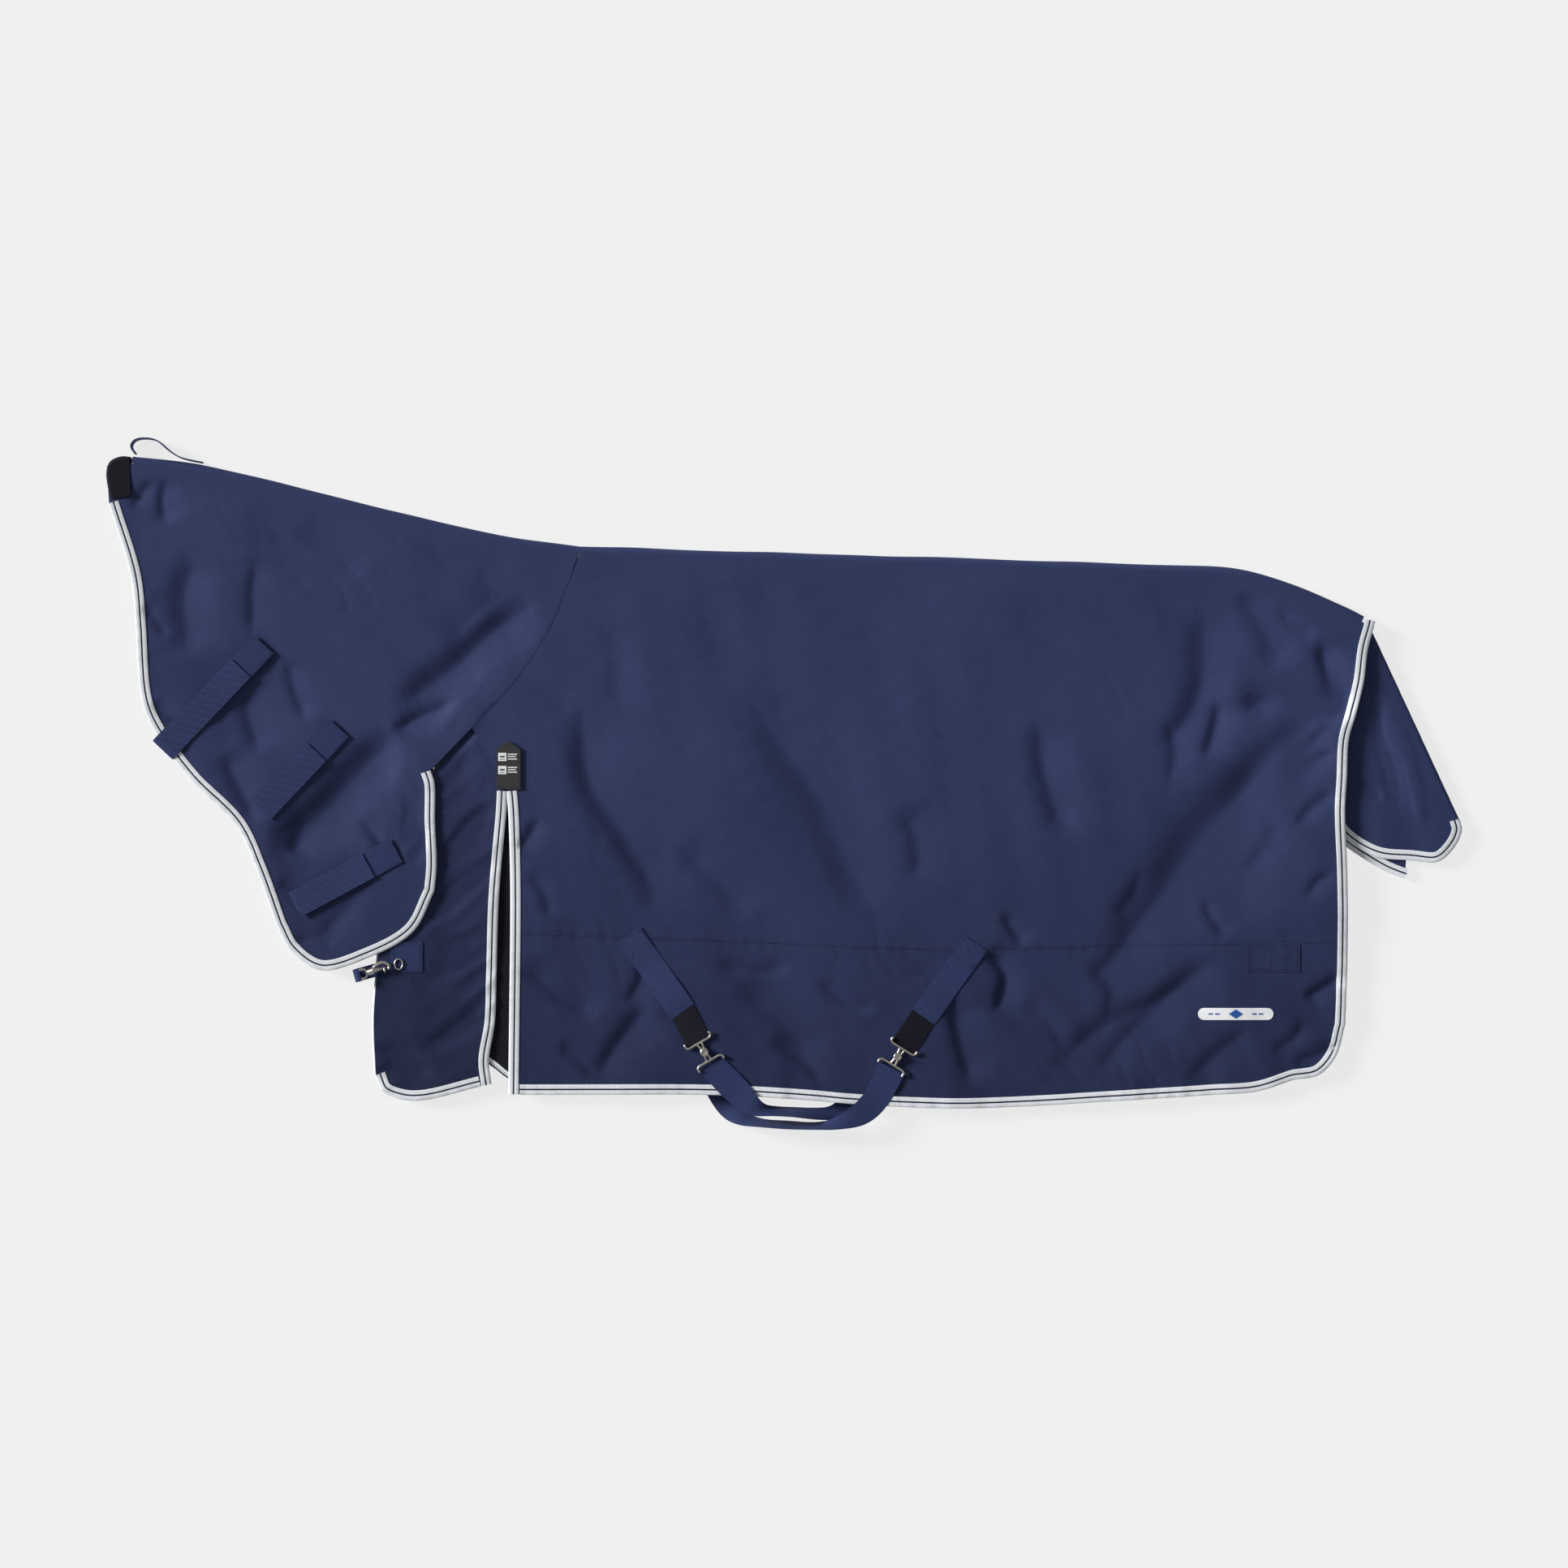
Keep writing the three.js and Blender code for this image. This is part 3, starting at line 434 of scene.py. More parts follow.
def newPiece(name, verts, faces, material, uv=None, sharpAngle=45):
    mesh = bpy.data.meshes.new(name)
    mesh.from_pydata([tuple(v) for v in verts], [], [tuple(f) for f in faces])
    mesh.validate()
    if uv is not None:
        layer = mesh.uv_layers.new(name="UVMap")
        corner = np.zeros(len(mesh.loops), np.int32)
        mesh.loops.foreach_get("vertex_index", corner)
        layer.data.foreach_set("uv", np.array(uv, np.float32)[corner].ravel())
    mesh.materials.append(material)
    mesh.polygons.foreach_set("use_smooth", [True] * len(mesh.polygons))
    mesh.set_sharp_from_angle(angle=math.radians(sharpAngle))
    mesh.update()
    piece = bpy.data.objects.new(name, mesh)
    scene.collection.objects.link(piece)
    return piece


def settle(piece):
    # bakes the modifiers into the piece's own mesh
    bpy.context.view_layer.update()
    done = bpy.data.meshes.new_from_object(
        piece.evaluated_get(bpy.context.evaluated_depsgraph_get()))
    piece.modifiers.clear()
    piece.data = done
    return piece


def thicken(piece, wall):
    # gives a sheet its thickness in mm, below the side that shows
    solid = piece.modifiers.new("thickness", "SOLIDIFY")
    solid.thickness = wall * mm
    solid.offset = -1
    return settle(piece)


def attach(piece, nodes, body="root"):
    # what the piece stands for and the body that carries it
    if nodes:
        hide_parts(*nodes)
    if body:
        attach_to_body(piece, body)
    return piece


def insideOutline(places, outline):
    inside = np.zeros(len(places), bool)
    x, y = places[:, 0], places[:, 1]
    for (x0, y0), (x1, y1) in zip(outline, np.roll(outline, -1, axis=0)):
        crosses = (y0 > y) != (y1 > y)
        if crosses.any() and y1 != y0:
            inside ^= crosses & (x < (x1 - x0) * (y - y0) / (y1 - y0) + x0)
    return inside


def fillOutline(outline, step):
    # an even net of triangles inside a closed outline
    closed = np.vstack([outline, outline[:1]])
    gaps = np.linalg.norm(np.diff(closed, axis=0), axis=1)
    rim = [closed[0]]
    for start, end, gap in zip(closed, closed[1:], gaps):
        parts = max(1, int(round(gap / step)))
        for part in range(1, parts + 1):
            rim.append(start + (end - start) * part / parts)
    kept = [rim[0]]
    for point in rim[1:-1]:
        if np.linalg.norm(point - kept[-1]) > 0.45 * step:
            kept.append(point)
    if np.linalg.norm(kept[-1] - kept[0]) < 0.45 * step:
        kept.pop()
    rim = np.array(kept)
    low, high = rim.min(0), rim.max(0)
    rows = []
    for i, y in enumerate(np.arange(low[1] + 0.4 * step, high[1], 0.866 * step)):
        xs = np.arange(low[0] + (0.5 * step if i % 2 else 0.0), high[0], step)
        rows.append(np.stack([xs, np.full(len(xs), y)], axis=1))
    grid = np.vstack(rows)
    grid = grid[insideOutline(grid, rim)]
    clear = np.abs(beside(np.vstack([rim, rim[:1]]), grid)[0]) > 0.55 * step
    points = np.vstack([rim, grid[clear]])
    edges = [(i, (i + 1) % len(rim)) for i in range(len(rim))]
    found = geometry.delaunay_2d_cdt([Vector(p) for p in points], edges, [], 1, 1e-7)
    verts, faces = np.array([tuple(v) for v in found[0]]), np.array([tuple(f) for f in found[2]])
    a, b, c = verts[faces[:, 0]], verts[faces[:, 1]], verts[faces[:, 2]]
    turn = (b - a)[:, 0] * (c - a)[:, 1] - (b - a)[:, 1] * (c - a)[:, 0]
    faces[turn < 0] = faces[turn < 0][:, ::-1]
    return verts, faces


clothThick = 1.0


def clothSheet(name, node, outline, step, topHeight, rise, material, slotName,
               body="root", restsOn=()):
    points, faces = fillOutline(outline, step * mm)
    verts = np.column_stack([points, topHeight * mm + rise(points)])
    piece = thicken(newPiece(name, verts, faces, material, points), clothThick)
    piece.data.set_sharp_from_angle(angle=math.radians(50))
    attach(piece, [node], body)


def loftFaces(rings, count, closedLoop=False):
    faces = []
    for r in range(rings - (0 if closedLoop else 1)):
        here, there = r * count, ((r + 1) % rings) * count
        for k in range(count):
            n = (k + 1) % count
            faces.append((here + k, here + n, there + n, there + k))
    if not closedLoop:
        faces.append(tuple(range(count - 1, -1, -1)))
        faces.append(tuple(range((rings - 1) * count, rings * count)))
    return faces


def outward(verts, faces):
    # turns all the faces of a closed skin round if they point in
    verts = np.asarray(verts, float)
    volume = 0.0
    for face in faces:
        a = verts[face[0]]
        for i, j in zip(face[1:], face[2:]):
            volume += np.dot(a, np.cross(verts[i], verts[j]))
    return faces if volume > 0 else [tuple(reversed(face)) for face in faces]


def loftPiece(name, rings, material, uv=None, sharpAngle=40):
    rings = np.asarray(rings, float)
    verts = rings.reshape(-1, 3)
    faces = outward(verts, loftFaces(len(rings), rings.shape[1]))
    return newPiece(name, verts, faces, material, uv, sharpAngle)


def mergedPiece(name, parts, material, sharpAngle=35):
    # several closed skins in one piece
    verts, faces = [], []
    for partVerts, partFaces in parts:
        start = len(verts)
        verts.extend(tuple(v) for v in partVerts)
        faces.extend(tuple(i + start for i in f) for f in outward(partVerts, partFaces))
    return newPiece(name, verts, faces, material, None, sharpAngle)


def wireSkin(points, radius, sides=12, step=1.2, closedLoop=False):
    # round wire along points in mm, its ends rounded off
    given = [list(p) for p in points]
    if closedLoop:
        wrapped = smoothLine(given[-3:] + given + given[:3], step * mm)
        fromStart = np.linalg.norm(wrapped - np.array(given[0]) * mm, axis=1)
        start = int(fromStart[:len(wrapped) // 2].argmin())
        rest = wrapped[start + 8:]
        end = start + 8 + int(np.linalg.norm(rest - wrapped[start], axis=1).argmin())
        path = wrapped[start:end]
    else:
        path = smoothLine(given, step * mm)
    run = np.gradient(path, axis=0)
    if closedLoop:
        run = np.roll(path, -1, axis=0) - np.roll(path, 1, axis=0)
    run /= np.linalg.norm(run, axis=1)[:, None]
    up = np.array([0, 0, 1.0]) if abs(run[0][2]) < 0.8 else np.array([1.0, 0, 0])
    rings = []
    for i, (centre, ahead) in enumerate(zip(path, run)):
        side = np.cross(ahead, up)
        side /= np.linalg.norm(side)
        up = np.cross(side, ahead)
        fromEnd = min(i, len(path) - 1 - i) * step / radius
        thin = 1.0 if closedLoop else math.sqrt(min(1.0, 0.12 + 0.88 * fromEnd))
        turn = np.linspace(0, 2 * math.pi, sides, endpoint=False)
        circle = np.outer(np.cos(turn), side) + np.outer(np.sin(turn), up)
        rings.append(centre + radius * thin * mm * circle)
    rings = np.array(rings)
    return rings.reshape(-1, 3), loftFaces(len(rings), sides, closedLoop)


def turnedSkin(profile, segments=24, closedProfile=False):
    # solid of revolution about X from (x, radius) in mm; a radius of 0 becomes a tiny flat
    turn = np.linspace(0, 2 * math.pi, segments, endpoint=False)
    rings = []
    for x, radius in profile:
        r = max(radius, 0.02)
        ring = [np.full(segments, x), r * np.cos(turn), r * np.sin(turn)]
        rings.append(np.stack(ring, axis=1) * mm)
    return np.array(rings).reshape(-1, 3), loftFaces(len(rings), segments, closedProfile)


def placed(skin, turn, at):
    verts, faces = skin
    c, s = math.cos(turn), math.sin(turn)
    verts = np.asarray(verts) @ np.array([[c, s, 0], [-s, c, 0], [0, 0, 1]]) + np.array(at) * mm
    return verts, faces


# Materials

def addNode(tree, kind, inputs=None, **settings):
    made = tree.nodes.new(kind)
    for key, value in settings.items():
        setattr(made, key, value)
    for key, value in (inputs or {}).items():
        socket = made.inputs[key]
        if isinstance(value, bpy.types.NodeSocket):
            tree.links.new(value, socket)
        else:
            socket.default_value = value
    return made


def newMaterial(name, roughness, metallic=0.0, specular=0.35, sheen=0.0):
    material = bpy.data.materials.new(name)
    material.use_nodes = True
    tree = material.node_tree
    shader = tree.nodes["Principled BSDF"]
    shader.inputs["Roughness"].default_value = roughness
    shader.inputs["Metallic"].default_value = metallic
    shader.inputs["Specular IOR Level"].default_value = specular
    shader.inputs["Sheen Weight"].default_value = sheen
    shader.inputs["Sheen Roughness"].default_value = 0.4
    return material, tree, shader


def calc(tree, operation, a, b=0.0):
    return addNode(tree, "ShaderNodeMath", {0: a, 1: b}, operation=operation).outputs[0]


def noiseAt(tree, place, scale, detail):
    return addNode(tree, "ShaderNodeTexNoise", {"Vector": place, "Scale": scale,
                                                "Detail": detail}).outputs[0]


def ranged(tree, value, low, high, start=0.0, end=1.0):
    # start where the value is low, end where it is high
    return addNode(tree, "ShaderNodeMapRange", {0: value, 1: low, 2: high, 3: start,
                                                4: end}).outputs[0]


def bumpy(tree, shader, height, strength, distance):
    bump = addNode(tree, "ShaderNodeBump", {"Height": height, "Strength": strength,
                                            "Distance": distance * mm})
    tree.links.new(bump.outputs[0], shader.inputs["Normal"])


def waveOf(tree, value, pitch):
    # a sine wave of that pitch in metres, from -1 to 1
    return calc(tree, "SINE", calc(tree, "MULTIPLY", value, 2 * math.pi / pitch))


def blendColour(tree, share, first, second, mode="MIX"):
    mix = addNode(tree, "ShaderNodeMix", {0: share}, data_type="RGBA", blend_type=mode)
    for socket, value in ((mix.inputs[6], first), (mix.inputs[7], second)):
        if isinstance(value, bpy.types.NodeSocket):
            tree.links.new(value, socket)
        else:
            socket.default_value = (*value, 1) if len(value) == 3 else value
    return mix.outputs[2]


def clothMaterial(name, look):
    # woven cloth: plain weave, a faint ripstop grid, uneven yarns and a broad change of tone
    material, tree, shader = newMaterial(name, look["roughness"], 0.0, look["specular"])
    place = addNode(tree, "ShaderNodeTexCoord").outputs["Object"]
    axes = addNode(tree, "ShaderNodeSeparateXYZ", {0: place})
    across, along = axes.outputs[0], axes.outputs[1]
    slub = []
    for scale, seed in (((30, 420, 1), 0.0), ((420, 36, 1), 5.0)):
        turned = addNode(tree, "ShaderNodeMapping", {"Vector": place, "Scale": scale,
                                                     "Location": (seed, seed, 0)}).outputs[0]
        slub.append(noiseAt(tree, turned, 1.0, 3.0))
    yarn = calc(tree, "ADD", calc(tree, "MULTIPLY", slub[0], 0.6),
                calc(tree, "MULTIPLY", slub[1], 0.4))
    tone = blendColour(tree, noiseAt(tree, place, 2.6, 2.0), look["dark"], look["light"])
    yarnShare = ranged(tree, yarn, 0.35, 0.65, 0.0, look["yarn"])
    tone = blendColour(tree, yarnShare, tone, look["thread"])
    rubShare = ranged(tree, noiseAt(tree, place, 38.0, 4.0), 0.5, 0.75, 0.0, look["rub"])
    tone = blendColour(tree, rubShare, tone, look["worn"])
    # a little darker towards the hem
    hemShare = ranged(tree, along, 0.08, -0.56, 1.0, look["hemTone"])
    tone = blendColour(tree, hemShare, (0.0, 0.0, 0.0), tone)
    tree.links.new(tone, shader.inputs["Base Color"])
    weave = calc(tree, "MULTIPLY", waveOf(tree, across, look["pitch"]),
                 waveOf(tree, along, look["pitch"]))
    grid = []
    for axis in (across, along):
        wave = waveOf(tree, axis, look["grid"])
        grid.append(calc(tree, "POWER", calc(tree, "ABSOLUTE", wave), 24.0))
    rib = calc(tree, "MAXIMUM", grid[0], grid[1])
    height = calc(tree, "ADD", calc(tree, "MULTIPLY", weave, 0.25),
                  calc(tree, "ADD", calc(tree, "MULTIPLY", rib, 0.25), yarn))
    bumpy(tree, shader, height, look["bump"], 0.4)
    rough = ranged(tree, yarn, 0.3, 0.7, look["roughness"] - 0.06, look["roughness"] + 0.08)
    tree.links.new(rough, shader.inputs["Roughness"])
    return material


def stripeShare(tree, look, across, noise):
    # 1 on the tape's woven lines, 0 beside them
    lines = []
    for at in look["stripeAt"]:
        off = calc(tree, "ABSOLUTE", calc(tree, "SUBTRACT", across, at * mm))
        edge = calc(tree, "ADD", off, calc(tree, "MULTIPLY", noise, 0.3 * mm))
        half = look["stripe"] * mm
        lines.append(ranged(tree, edge, half, half + 0.3 * mm, 1.0, 0.0))
    return calc(tree, "MAXIMUM", lines[0], lines[1])


def webbingMaterial(name, look):
    # ribbed webbing or tape, from the piece's own UV map: U runs along it and V across it
    material, tree, shader = newMaterial(name, look["roughness"], 0.0, look["specular"],
                                         look["sheen"])
    uv = addNode(tree, "ShaderNodeUVMap", uv_map="UVMap").outputs[0]
    axes = addNode(tree, "ShaderNodeSeparateXYZ", {0: uv})
    along, across = axes.outputs[0], axes.outputs[1]
    ribs = waveOf(tree, along, look["ribPitch"])
    cords = waveOf(tree, across, look["cordPitch"])
    lean = calc(tree, "ADD", along, calc(tree, "MULTIPLY", across, look["lean"]))
    twill = waveOf(tree, lean, look["twillPitch"])
    noise = noiseAt(tree, uv, 900.0, 3.0)
    height = calc(tree, "ADD", calc(tree, "MULTIPLY", ribs, look["ribs"]),
                  calc(tree, "MULTIPLY", calc(tree, "MULTIPLY", cords, twill), look["cords"]))
    height = calc(tree, "ADD", height, calc(tree, "MULTIPLY", noise, 0.5))
    tone = blendColour(tree, ranged(tree, height, -0.8, 1.3), look["dark"], look["light"])
    soil = ranged(tree, noiseAt(tree, uv, 14.0, 2.0), 0.45, 0.75, 0.0, look["soil"])
    tone = blendColour(tree, soil, tone, look["soiled"])
    if "stripeAt" in look:
        tone = blendColour(tree, stripeShare(tree, look, across, noise), tone,
                           look["stripeColour"])
    tree.links.new(tone, shader.inputs["Base Color"])
    bumpy(tree, shader, height, look["bump"], 0.5)
    return material


def metalMaterial(name, look):
    material, tree, shader = newMaterial(name, look["roughness"], 1.0, 0.5)
    place = addNode(tree, "ShaderNodeTexCoord").outputs["Object"]
    dull = noiseAt(tree, place, 90.0, 3.0)
    tone = blendColour(tree, ranged(tree, dull, 0.42, 0.68, 0.0, 0.8), look["bright"],
                       look["dull"])
    tree.links.new(tone, shader.inputs["Base Color"])
    rough = ranged(tree, dull, 0.35, 0.7, look["roughness"] - 0.06, look["roughness"] + 0.16)
    tree.links.new(rough, shader.inputs["Roughness"])
    bumpy(tree, shader, noiseAt(tree, place, 420.0, 4.0), 0.25, 0.2)
    return material


def mouldedMaterial(name, look):
    material, tree, shader = newMaterial(name, look["roughness"], 0.0, 0.3)
    place = addNode(tree, "ShaderNodeTexCoord").outputs["Object"]
    share = ranged(tree, noiseAt(tree, place, 120.0, 5.0), 0.5, 0.72, 0.0, 0.5)
    tone = blendColour(tree, share, look["colour"], look["scuffed"])
    tree.links.new(tone, shader.inputs["Base Color"])
    bumpy(tree, shader, noiseAt(tree, place, 1400.0, 3.0), 0.3, 0.2)
    return material


shellLook = {"dark": (0.0250, 0.0345, 0.098), "light": (0.0300, 0.0410, 0.112),
             "thread": (0.036, 0.048, 0.125), "worn": (0.042, 0.053, 0.120),
             "yarn": 0.5, "rub": 0.12, "roughness": 0.66, "specular": 0.12,
             "pitch": 0.9 * mm, "grid": 9.0 * mm, "bump": 0.35, "hemTone": 0.64}
liningLook = {"dark": (0.005, 0.005, 0.008), "light": (0.008, 0.008, 0.012),
              "thread": (0.014, 0.014, 0.02), "worn": (0.015, 0.015, 0.02),
              "yarn": 0.4, "rub": 0.1, "roughness": 0.8, "specular": 0.15,
              "pitch": 1.4 * mm, "grid": 12.0 * mm, "bump": 0.4, "hemTone": 1.0}
tapeLook = {"dark": (0.66, 0.69, 0.74), "light": (0.88, 0.90, 0.93),
            "soiled": (0.62, 0.63, 0.63), "soil": 0.25, "roughness": 0.72, "specular": 0.25,
            "sheen": 0.1, "ribPitch": 1.7 * mm, "cordPitch": 1.5 * mm, "twillPitch": 2.4 * mm,
            "lean": 1.0, "ribs": 0.7, "cords": 0.25, "bump": 0.7,
            "stripeAt": (9.3, 33.0), "stripe": 1.5, "stripeColour": (0.008, 0.011, 0.035)}
webLook = {"dark": (0.019, 0.029, 0.090), "light": (0.035, 0.050, 0.150),
           "soiled": (0.030, 0.037, 0.10), "soil": 0.3, "roughness": 0.7, "specular": 0.15,
           "sheen": 0.0, "ribPitch": 2.2 * mm, "cordPitch": 2.9 * mm, "twillPitch": 2.6 * mm,
           "lean": 1.0, "ribs": 0.35, "cords": 0.6, "bump": 0.8}
elasticLook = {"dark": (0.004, 0.004, 0.009), "light": (0.009, 0.008, 0.020),
               "soiled": (0.013, 0.013, 0.02), "soil": 0.3, "roughness": 0.78, "specular": 0.2,
               "sheen": 0.0, "ribPitch": 1.5 * mm, "cordPitch": 1.3 * mm,
               "twillPitch": 2.0 * mm, "lean": 0.0, "ribs": 0.8, "cords": 0.2, "bump": 0.7}
shellCloth = clothMaterial("navyShell", shellLook)
liningCloth = clothMaterial("darkLining", liningLook)
tape = webbingMaterial("boundTape", tapeLook)
webbing = webbingMaterial("navyWebbing", webLook)
elastic = webbingMaterial("blackElastic", elasticLook)
# a darker copy of the shell cloth for the chest panel: painted shade where the chest lies lower,
# under the neck
shadedChestLook = {**shellLook, "dark": (0.0185, 0.0258, 0.074), "light": (0.0232, 0.0315, 0.088),
             "thread": (0.031, 0.041, 0.108)}
shadedChestCloth = clothMaterial("navyChestShaded", shadedChestLook)
nickel = metalMaterial("nickelPlate", {"bright": (0.68, 0.65, 0.59), "dull": (0.48, 0.45, 0.40),
                                       "roughness": 0.27})
mouldedLooks = {
    "labelRubber": {"colour": (0.030, 0.030, 0.031), "scuffed": (0.06, 0.06, 0.06),
                    "roughness": 0.55},
    "whitePrint": {"colour": (0.80, 0.81, 0.83), "scuffed": (0.68, 0.69, 0.71),
                   "roughness": 0.55},
    "bluePrint": {"colour": (0.020, 0.085, 0.33), "scuffed": (0.05, 0.12, 0.36),
                  "roughness": 0.55},
    "navyThread": {"colour": (0.010, 0.014, 0.040), "scuffed": (0.02, 0.03, 0.07),
                   "roughness": 0.6},
}
rubber, printWhite, printBlue, navyThread = (
    mouldedMaterial(name, look) for name, look in mouldedLooks.items())
print("materials ready")


# Panels and linings

clearOfNeck = shifted(line["neckSeam"], -0.8 * mm)
aboveSeam = rearEdge[rearEdge[:, 1] > -0.2902]
belowSeam = rearEdge[rearEdge[:, 1] < -0.2912]
slit = line["slitRear"]
neckSeamTail = clearOfNeck[np.linalg.norm(clearOfNeck - clearOfNeck[0], axis=1) > 0.107]
backOutline = np.vstack([slit[slit[:, 1] > -0.2735], seamLine[1:], aboveSeam[1:],
                         spineInner[::-1], neckSeamTail[::-1]])
skirtOutline = np.vstack([slit[slit[:, 1] < -0.2755], line["hem"], belowSeam,
                          (seamLine - [0, 0.6 * mm])[::-1]])
bodyOutline = np.vstack([slit, line["hem"], rearEdge, spineInner[::-1], neckSeamTail[::-1]])
chestTopEdge = np.array([[-0.5060, -0.0110], [-0.5715, 0.1030], [-0.5890, 0.1010]])
chestOutline = joined(line["chestFront"], line["chestHem"], line["slitFront"], chestTopEdge)
pollEdge = np.array([[-1199, 586], [-1222, 584], [-1237, 572], [-1238, 545]]) * mm
neckOutline = np.vstack([neckEdge, line["neckSeam"][1:], crestInner[::-1], pollEdge])

gussetOutline = np.vstack([line["gussetHem"], np.array([[-490, -18], [-524, -18]]) * mm])
shell, lining = (shellCloth, "navy_shell"), (liningCloth, "dark_lining")
chest = (shadedChestCloth, "navy_shell")

# each sheet: name, node, outline, step of its mesh, height of its top, how it lies, cloth and
# what it rests on
nearPanels = [
    ("nearBackShell", "near_back_panel", backOutline, 7, level["nearTop"], nearRise, shell,
     "near_body_lining"),
    ("nearSkirtShell", "near_skirt_panel", skirtOutline, 6, level["nearTop"], nearRise, shell,
     "near_body_lining"),
    ("nearNeckShell", "near_neck_panel", neckOutline, 6, level["nearTop"], nearRise, shell,
     "near_neck_lining"),
    ("nearChestShell", "near_chest_panel", chestOutline, 6, level["chestTop"], chestRise,
     chest, "near_chest_lining"),
    ("nearBodyLining", "near_body_lining", bodyOutline, 12, level["nearLining"],
     nearLiningRise, lining, "far_body_lining"),
    ("nearNeckLining", "near_neck_lining", neckOutline, 12, level["nearLining"],
     nearLiningRise, lining, "far_neck_lining"),
    ("nearChestLining", "near_chest_lining", chestOutline, 12, level["chestLining"],
     chestLiningRise, lining, "far_chest_panel"),
]
farPanels = [
    ("farBodyShell", "far_body_panel", bodyOutline, 16, level["farShell"], farRise, shell),
    ("farNeckShell", "far_neck_panel", neckOutline, 16, level["farShell"], farRise, shell),
    ("farChestShell", "far_chest_panel", chestOutline, 14, level["farChest"], farRise, shell),
    ("farBodyLining", "far_body_lining", bodyOutline, 16, level["farLining"], farRise, lining,
     "far_body_panel"),
    ("farNeckLining", "far_neck_lining", neckOutline, 16, level["farLining"], farRise, lining,
     "far_neck_panel"),
    ("nearGusset", "near_gusset", gussetOutline, 9, level["nearGusset"], noRise, lining),
    ("farGusset", "far_gusset", gussetOutline, 9, level["farGusset"], noRise, lining),
]
for panel in nearPanels + farPanels:
    clothSheet(*panel[:6], *panel[6], restsOn=panel[7:])
print("panels and gussets laid")


# The rounded fold along crest and spine, level with the panels where it meets them
spineFold = {"depth": 12, "wall": 1.2, "facets": 12}


def makeSpineFold(look):
    path = joined(smoothLine([[-1195, 600], *rugLines["crest"][1:]], 5 * mm), line["spine"])
    path = path - [0, foldDepth]
    top, bottom = level["nearTop"] * mm, (level["farShell"] - 1.0) * mm
    middle, half = (top + bottom) / 2, (top - bottom) / 2
    turns = np.linspace(math.pi / 2, -math.pi / 2, look["facets"] + 1)
    left = leftOf(path)
    wander = 0.5 * mm * ripple(path, 210, 61)
    rings, uv = [], []
    along = lengths(path)
    for i, point in enumerate(path):
        ring = []
        for wall in (0, look["wall"] * mm):
            reach = (look["depth"] * mm - wall) * (1 + wander[i] / foldDepth)
            outer = [(*(point + left[i] * reach * math.cos(t)),
                      middle + (half - wall) * math.sin(t)) for t in turns]
            ring += outer if wall == 0 else outer[::-1]
        rings.append(ring)
        uv += [(along[i], 0.003 * k) for k in range(len(ring))]
    fold = loftPiece("spineFold", rings, shellCloth, uv, sharpAngle=50)
    attach(fold, ["spine_fold"])


makeSpineFold(spineFold)


# Binding tape folded over the edges
bindingShape = {"width": 19, "lap": 1.2, "thick": 0.9, "crown": 0.3, "step": 5}


def tapeSection(look, height, width):
    # (distance in from the edge, height, distance along the tape's outside)
    lap, thick, crown = look["lap"], look["thick"], look["crown"]
    inner = width - lap
    top = [(inner, height - 0.15), (inner - 0.5, height), (inner - 2.6, height + crown),
           (inner * 0.62, height + crown), (inner * 0.54, height), (inner * 0.5, height - 0.2),
           (inner * 0.46, height), (inner * 0.36, height + crown), (2.4, height + 0.1),
           (0.4, height - 0.35), (-0.8, height - 1.1), (-lap, height / 2)]
    under = [(d, height - z) for d, z in top[:-1]][::-1]
    outside = top + under
    inside = [(inner, thick), (1.2, thick), (0.2, thick + 0.4), (-lap + thick, height / 2),
              (0.2, height - thick - 0.4), (1.2, height - thick), (inner, height - thick)]
    steps = [0.0]
    for a, b in zip(outside, outside[1:]):
        steps.append(steps[-1] + math.dist(a, b))
    steps += [steps[-1] + 1 + 0.1 * k for k in range(len(inside))]
    return outside + inside, steps


def makeBinding(name, node, path, low, rise, height=level["tapeHeight"],
                width=bindingShape["width"], body="root"):
    look = bindingShape
    path = evenly(path, look["step"] * mm)
    section, steps = tapeSection(look, height, width)
    left = leftOf(path)
    along = lengths(path)
    flat = np.array([[p + n * d * mm for d, z in section] for p, n in zip(path, left)])
    heights = rise(flat.reshape(-1, 2)).reshape(flat.shape[:2])
    heights += (low + np.array([z for d, z in section])) * mm
    rings = np.concatenate([flat, heights[:, :, None]], axis=2)
    uv = [(a, s * mm) for a in along for s in steps]
    piece = loftPiece(name, rings, tape, uv, sharpAngle=60)
    attach(piece, [node] if node else [], body)
    stitch = path + left * 0.5 * (width - look["lap"]) * mm
    stitchHeight = rise(stitch) + (low + height + 0.05) * mm
    return np.column_stack([stitch, stitchHeight])


# the tape runs on over the end of the fold
rearPath = joined(line["rear"], np.array([[1079, 287], [1081.5, 298]]) * mm)
bindingRows = {"root": [], "tail_flap": []}
